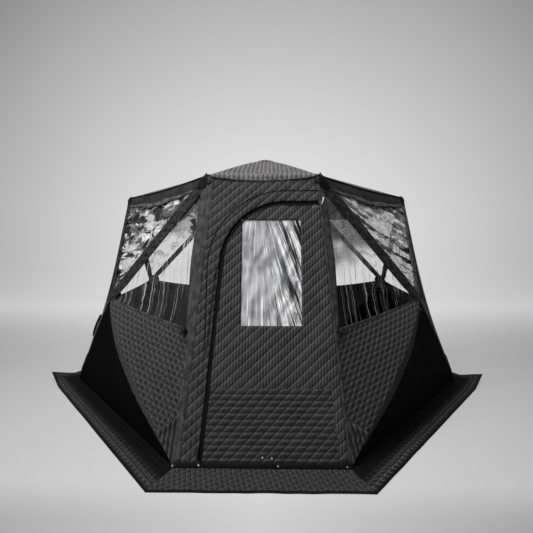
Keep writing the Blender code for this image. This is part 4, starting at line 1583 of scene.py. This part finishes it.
def makeDoorLeaf():
    lines, window, windowLow, windowTop = leafLines()

    def leafPlace(x, y):
        swell = 0.004 + crease(Vector((x, y, 1.7)), 8.0, 0.005)
        dip = 0.006 * math.exp(-(((y - door["crossSeam"]) / 0.012) ** 2))
        return onDoor(x, y, swell - dip + 0.002)

    mesh = bpy.data.meshes.new("door_leaf_cloth")
    leaf = bpy.data.objects.new("door_leaf_cloth", mesh)
    bpy.context.scene.collection.objects.link(leaf)
    work = bmesh.new()
    grid = [[work.verts.new(leafPlace(x, y)) for x, y in line] for line in lines]
    for j in range(len(grid) - 1):
        for k in range(len(grid[j]) - 1):
            if j not in window[0] or k not in window[1]:
                work.faces.new((grid[j][k], grid[j][k + 1], grid[j + 1][k + 1], grid[j + 1][k]))
    layer = work.loops.layers.uv.new("UVMap")
    for face in work.faces:
        for loop in face.loops:
            point = loop.vert.co - doorBase
            loop[layer].uv = (point.dot(rightward), point.dot(doorUp))
    work.to_mesh(mesh)
    work.free()
    stands = {"thickness": 0.003, "replaced": ["door_leaf"], "restsOn": ["seam_webbing"]}
    finishCloth(leaf, "door_leaf", "doorQuilt", "quilt", **stands)
    leaf.data.materials.append(materials["doorLowQuilt"])
    height = doorBase.dot(doorUp) + door["crossSeam"]
    for polygon in leaf.data.polygons:
        polygon.material_index = 1 if polygon.center.dot(doorUp) < height else 0

    def windowPlace(u, v):
        lap = door["windowLap"]
        x = door["windowLeft"] - lap + (door["windowRight"] - door["windowLeft"] + 2 * lap) * u
        y = windowLow - lap + (windowTop - windowLow + 2 * lap) * v
        edge = min(1.0, 6 * min(u, 1 - u), 8 * min(v, 1 - v))
        folds = math.sin((x - (y - windowTop) * 0.35) * 60 + noise.noise(Vector((x, y, 3)) * 6) * 4)
        wave = 0.004 * folds + crease(Vector((x * 3, y, 0)), 12.0, 0.006)
        return onDoor(x, y, 0.001 + edge * (wave + 0.004))

    rests = ["door_leaf_cloth"]
    stands = {"foldMap": True, "thickness": 0.0005, "replaced": ["door_window"], "restsOn": rests}
    doorCloth("door_window_film", (70, 110), windowPlace, "door_leaf", "doorFilm", "film", **stands)

    def hingePlace(u, v):
        y = door["low"] + 0.01 + (doorTop - 0.03 - door["low"]) * v
        return onDoor(doorEdge(y) - door["rightStrip"] * (1 - u) - 0.002, y, 0.0085 + 0.002 * arch(u))

    doorCloth("door_hinge_strip", (6, 60), hingePlace, "door_leaf", "doorQuilt", "quilt", restsOn=rests)

    # Bound edge of the leaf beside the zip
    paths = zipPath(-halfGap), zipPath(-halfGap - door["bound"])

    def boundPlace(u, v):
        spot = between(*paths, u, v)
        return onDoor(spot.x, spot.y, 0.0095 + 0.001 * arch(u))

    edge = ("bindingCloth", "webbing")
    doorCloth("door_leaf_binding", (3, 110), boundPlace, "door_leaf", *edge, restsOn=rests)


makeDoorSurround()
makeDoorLeaf()
print("door made")


def newRound(name, sides, radius, depth):
    bpy.ops.object.select_all(action="DESELECT")
    bpy.ops.mesh.primitive_cylinder_add(vertices=sides, radius=radius, depth=depth, end_fill_type="TRIFAN")
    piece = bpy.context.object
    piece.name = name
    return piece


def finishRound(piece, bevel, material, body):
    applyModifier(piece, "BEVEL", width=bevel, segments=2, limit_method="ANGLE")
    smoothen(piece)
    piece.data.materials.append(materials[material])
    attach(piece, body)


def makeKnob(name, place, out, radius, body="tent_base"):
    # A moulded knob with a waist and a domed face, standing on the cloth
    knob = newRound(name, 12, radius, radius * 1.1)
    turn = out.to_track_quat("Z", "Y").to_matrix()
    for vert in knob.data.vertices:
        reach = math.hypot(vert.co.x, vert.co.y) / radius
        if vert.co.z < 0:
            vert.co.x *= 0.72
            vert.co.y *= 0.72
        elif reach < 0.5:
            vert.co.z += radius * 0.25
        vert.co = place + turn @ (vert.co + Vector((0, 0, radius * 0.5)))
    finishRound(knob, radius * 0.16, "hubNylon", body)


def makeStud(name, place, out, radius):
    # A flat metal stud with a dished middle
    stud = newRound(name, 20, radius, radius * 0.6)
    turn = out.to_track_quat("Z", "Y").to_matrix()
    for vert in stud.data.vertices:
        if math.hypot(vert.co.x, vert.co.y) < radius * 0.5 and vert.co.z > 0:
            vert.co.z -= radius * 0.25
        vert.co = place + turn @ vert.co
    finishRound(stud, radius * 0.15, "eyeletMetal", "tent_base")


smallParts = {
    "knobRadius": 0.027,
    "knobOut": 0.006,
    "clipRadius": 0.014,
    "clipOut": 0.008,
    "studRadius": 0.006,
    "studSpots": (
        (-0.545, 0.010),
        (-0.385, 0.014),
        (0.005, 0.060),
        (0.062, 0.056),
        (0.100, 0.012),
        (0.520, 0.012),
    ),
    "loopLength": 0.26,
    "loopWidth": 0.026,
}


def makeKnobs():
    for key, side in (("front_left", -1.0), ("front_right", 1.0)):
        out = Vector((side * 0.80, -0.58, 0.1)).normalized()
        spot = seamPoint(key, tent["toggleShare"]) + Vector((side * 0.024, 0.010, 0))
        makeKnob(key + "_knob", spot + out * smallParts["knobOut"], out, smallParts["knobRadius"])
    for index, (x, y) in enumerate(smallParts["studSpots"]):
        makeStud("foot_stud_" + str(index), onDoor(x, y, 0.016), doorOut, smallParts["studRadius"])
    left, right, base, along, up, out, hub = wallFrame("front_right_wall")
    spot = bowedRidge(foot[left], hub, out, 0.92, walls["frontBow"]) + out * smallParts["clipOut"]
    makeKnob("front_right_ridge_clip", spot, out, smallParts["clipRadius"], "front_right_wall_bottom_panel")


def makeLoopAndTag():
    # A webbing loop for a guy line hangs from the left side corner
    outward = Vector((-1, 0, 0))
    top = seamPoint("left", 0.36) + outward * 0.016
    length = smallParts["loopLength"]
    hung = {"held": "hung", "restsOn": ["left_corner_binding"]}
    for part, low, high, look in (("webbing", 0.0, 0.86, "bindingCloth"), ("tip", 0.84, 1.0, "tagCloth")):

        def loopPlace(u, v):
            share = low + (high - low) * (1 - v)
            swing = outward * (0.35 * share * length + 0.016 * arch(share))
            return top + swing + Vector(((u - 0.5) * smallParts["loopWidth"], 0, -share * length))

        weave = (top, rightward, upright)
        sewCloth("left_loop_" + part, (3, 24), loopPlace, weave, "tent_base", look, "webbing", **hung)

    # A light tag at the inner end of the zip
    end = Vector((doorEdge(doorTop) + 0.012, doorTop))

    def tagPlace(u, v):
        return onDoor(end.x + 0.007 * u + 0.012 * v, end.y - 0.018 + 0.050 * v, 0.020 + 0.003 * arch(v))

    hung = {"held": "hung", "restsOn": ["front_right_corner_binding"]}
    doorCloth("zip_end_tag", (3, 8), tagPlace, "tent_base", "tagCloth", "webbing", **hung)


makeKnobs()
makeLoopAndTag()
print("small parts made")


nodeLooks = {"_hub": "hubNylon", "_pole": "poleFibre", "zip_slider": "zipMetal"}
for nodeName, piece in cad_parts.items():
    for ending, look in nodeLooks.items():
        if nodeName.endswith(ending):
            for holder in piece.material_slots:
                holder.material = materials[look]
print("nodes dressed")


studio = {
    "sweepStart": -8.0,
    "sweepDepth": 14.0,
    "sweepWidth": 26.0,
    "sweepRadius": 3.0,
    "sweepRise": 12.0,
    "brightest": 0.70,
    "fall": 0.0466,
    "near": 5.2,
    "floor": 0.14,
    "floorGlow": 0.535,
    "farGlow": 0.320,
    "bandShade": 0.020,
    "closeShade": 0.50,
    "footShade": 0.075,
    "least": 0.22,
    "key": 400.0,
    "fill": 260.0,
    "sky": 0.36,
}


def studioPaper():
    material, tree, shader = newMaterial("studioPaper")
    side, back, up = axesOf(addNode(tree, "ShaderNodeTexCoord").outputs["Object"])[:3]
    # The wall's glow fades round a point low behind the tent and again near the floor
    squares = plus(calc("POWER", side, 2.0), calc("POWER", plus(up, 0.42), 2.0))
    fall = times(minus(calc("SQRT", squares), studio["near"]), studio["fall"])
    wall = minus(studio["brightest"], larger(fall, 0.0))
    wall = minus(wall, times(rampDown(up, -0.6, 3.2), studio["footShade"]))
    # The floor brightens into the wall, dims in a band level with the tent and again close to the camera
    distance = plus(back, 3.76)
    spread = calc("DIVIDE", calc("ABSOLUTE", side), plus(distance, 5.24))
    far = times(ramp(distance, 4.0, 9.0), studio["farGlow"])
    band = times(ramp(distance, 1.9, 4.2), studio["bandShade"])
    close = times(rampDown(distance, 1.60, 2.00), plus(spread, 0.16))
    floor = minus(plus(minus(studio["floorGlow"], times(spread, 0.65)), far), band)
    floor = minus(floor, times(close, studio["closeShade"]))
    onFloor = rampDown(back, 3.5, 9.0)
    glow = plus(times(wall, minus(1.0, onFloor)), times(floor, onFloor))
    glow = larger(glow, studio["least"])
    path = addNode(tree, "ShaderNodeLightPath").outputs
    seen = larger(path["Is Camera Ray"], path["Is Glossy Ray"])
    seen = larger(seen, path["Is Transmission Ray"])
    values = {"Base Color": mixColour(onFloor, (0.03, 0.03, 0.03), (studio["floor"],) * 3)}
    values.update({"Emission Color": (1, 1, 1, 1), "Emission Strength": times(glow, seen)})
    values.update({"Roughness": 0.95, "Specular IOR Level": 0.0})
    feed(shader.inputs, values)
    return material


def makeStudio():
    # The backdrop: a floor, a quarter round and a wall
    bpy.ops.object.select_all(action="DESELECT")
    bpy.ops.mesh.primitive_grid_add(x_subdivisions=40, y_subdivisions=80, size=2)
    sweep = bpy.context.object
    sweep.name = "studio_sweep"
    start, depth, radius = studio["sweepStart"], studio["sweepDepth"], studio["sweepRadius"]
    quarter = radius * math.pi / 2
    for vert in sweep.data.vertices:
        run = (vert.co.y + 1) / 2 * (depth + quarter + studio["sweepRise"])
        y, z = start + run, 0.0
        if run >= depth:
            angle = min(run - depth, quarter) / radius
            y = start + depth + radius * math.sin(angle)
            z = radius * (1 - math.cos(angle)) + max(0.0, run - depth - quarter)
        vert.co = Vector((vert.co.x * studio["sweepWidth"] / 2, y, z))
    smoothen(sweep)
    sweep.data.materials.clear()
    sweep.data.materials.append(studioPaper())


def addArea(name, place, aim, size, power):
    data = bpy.data.lights.new(name, "AREA")
    data.shape = "RECTANGLE"
    data.size, data.size_y = size
    data.energy = power
    lamp = bpy.data.objects.new(name, data)
    bpy.context.scene.collection.objects.link(lamp)
    lamp.location = place
    lamp.rotation_euler = (Vector(aim) - Vector(place)).to_track_quat("-Z", "Y").to_euler()


def makeLight():
    addArea("key_light", (-1.2, -2.6, 6.5), (0, 0.2, 0.5), (4.0, 4.0), studio["key"])
    addArea("fill_light", (-5.2, -6.5, 3.4), (0, 0, 0.9), (4.0, 3.0), studio["fill"])
    world = bpy.data.worlds.new("studio_world")
    bpy.context.scene.world = world
    world.use_nodes = True
    background = world.node_tree.nodes["Background"].inputs
    background["Color"].default_value = (0.62, 0.62, 0.62, 1)
    background["Strength"].default_value = studio["sky"]


# Focal length and shift in pixels of the photograph's frame, place in metres, tilt and turn in radians
view = {
    "frame": 533,
    "focal": 351.0,
    "away": 3.594,
    "height": 1.33,
    "tilt": 0.041,
    "turn": 0.015,
    "shift": 1.2,
    "sensor": 36.0,
}


def makeCamera():
    data = bpy.data.cameras.new("photo_camera")
    data.sensor_width = view["sensor"]
    data.lens = view["sensor"] * view["focal"] / view["frame"]
    data.shift_x = view["shift"] / view["frame"]
    camera = bpy.data.objects.new("photo_camera", data)
    bpy.context.scene.collection.objects.link(camera)
    heading = Matrix.Rotation(view["turn"], 3, "Z")
    camera.location = heading @ Vector((0, -view["away"], 0)) + Vector((0, peak.y, view["height"]))
    camera.rotation_euler = (math.pi / 2 - view["tilt"], 0, view["turn"])
    bpy.context.scene.camera = camera


makeStudio()
makeLight()
makeCamera()
bpy.context.scene.view_settings.view_transform = "Standard"
print("studio made")
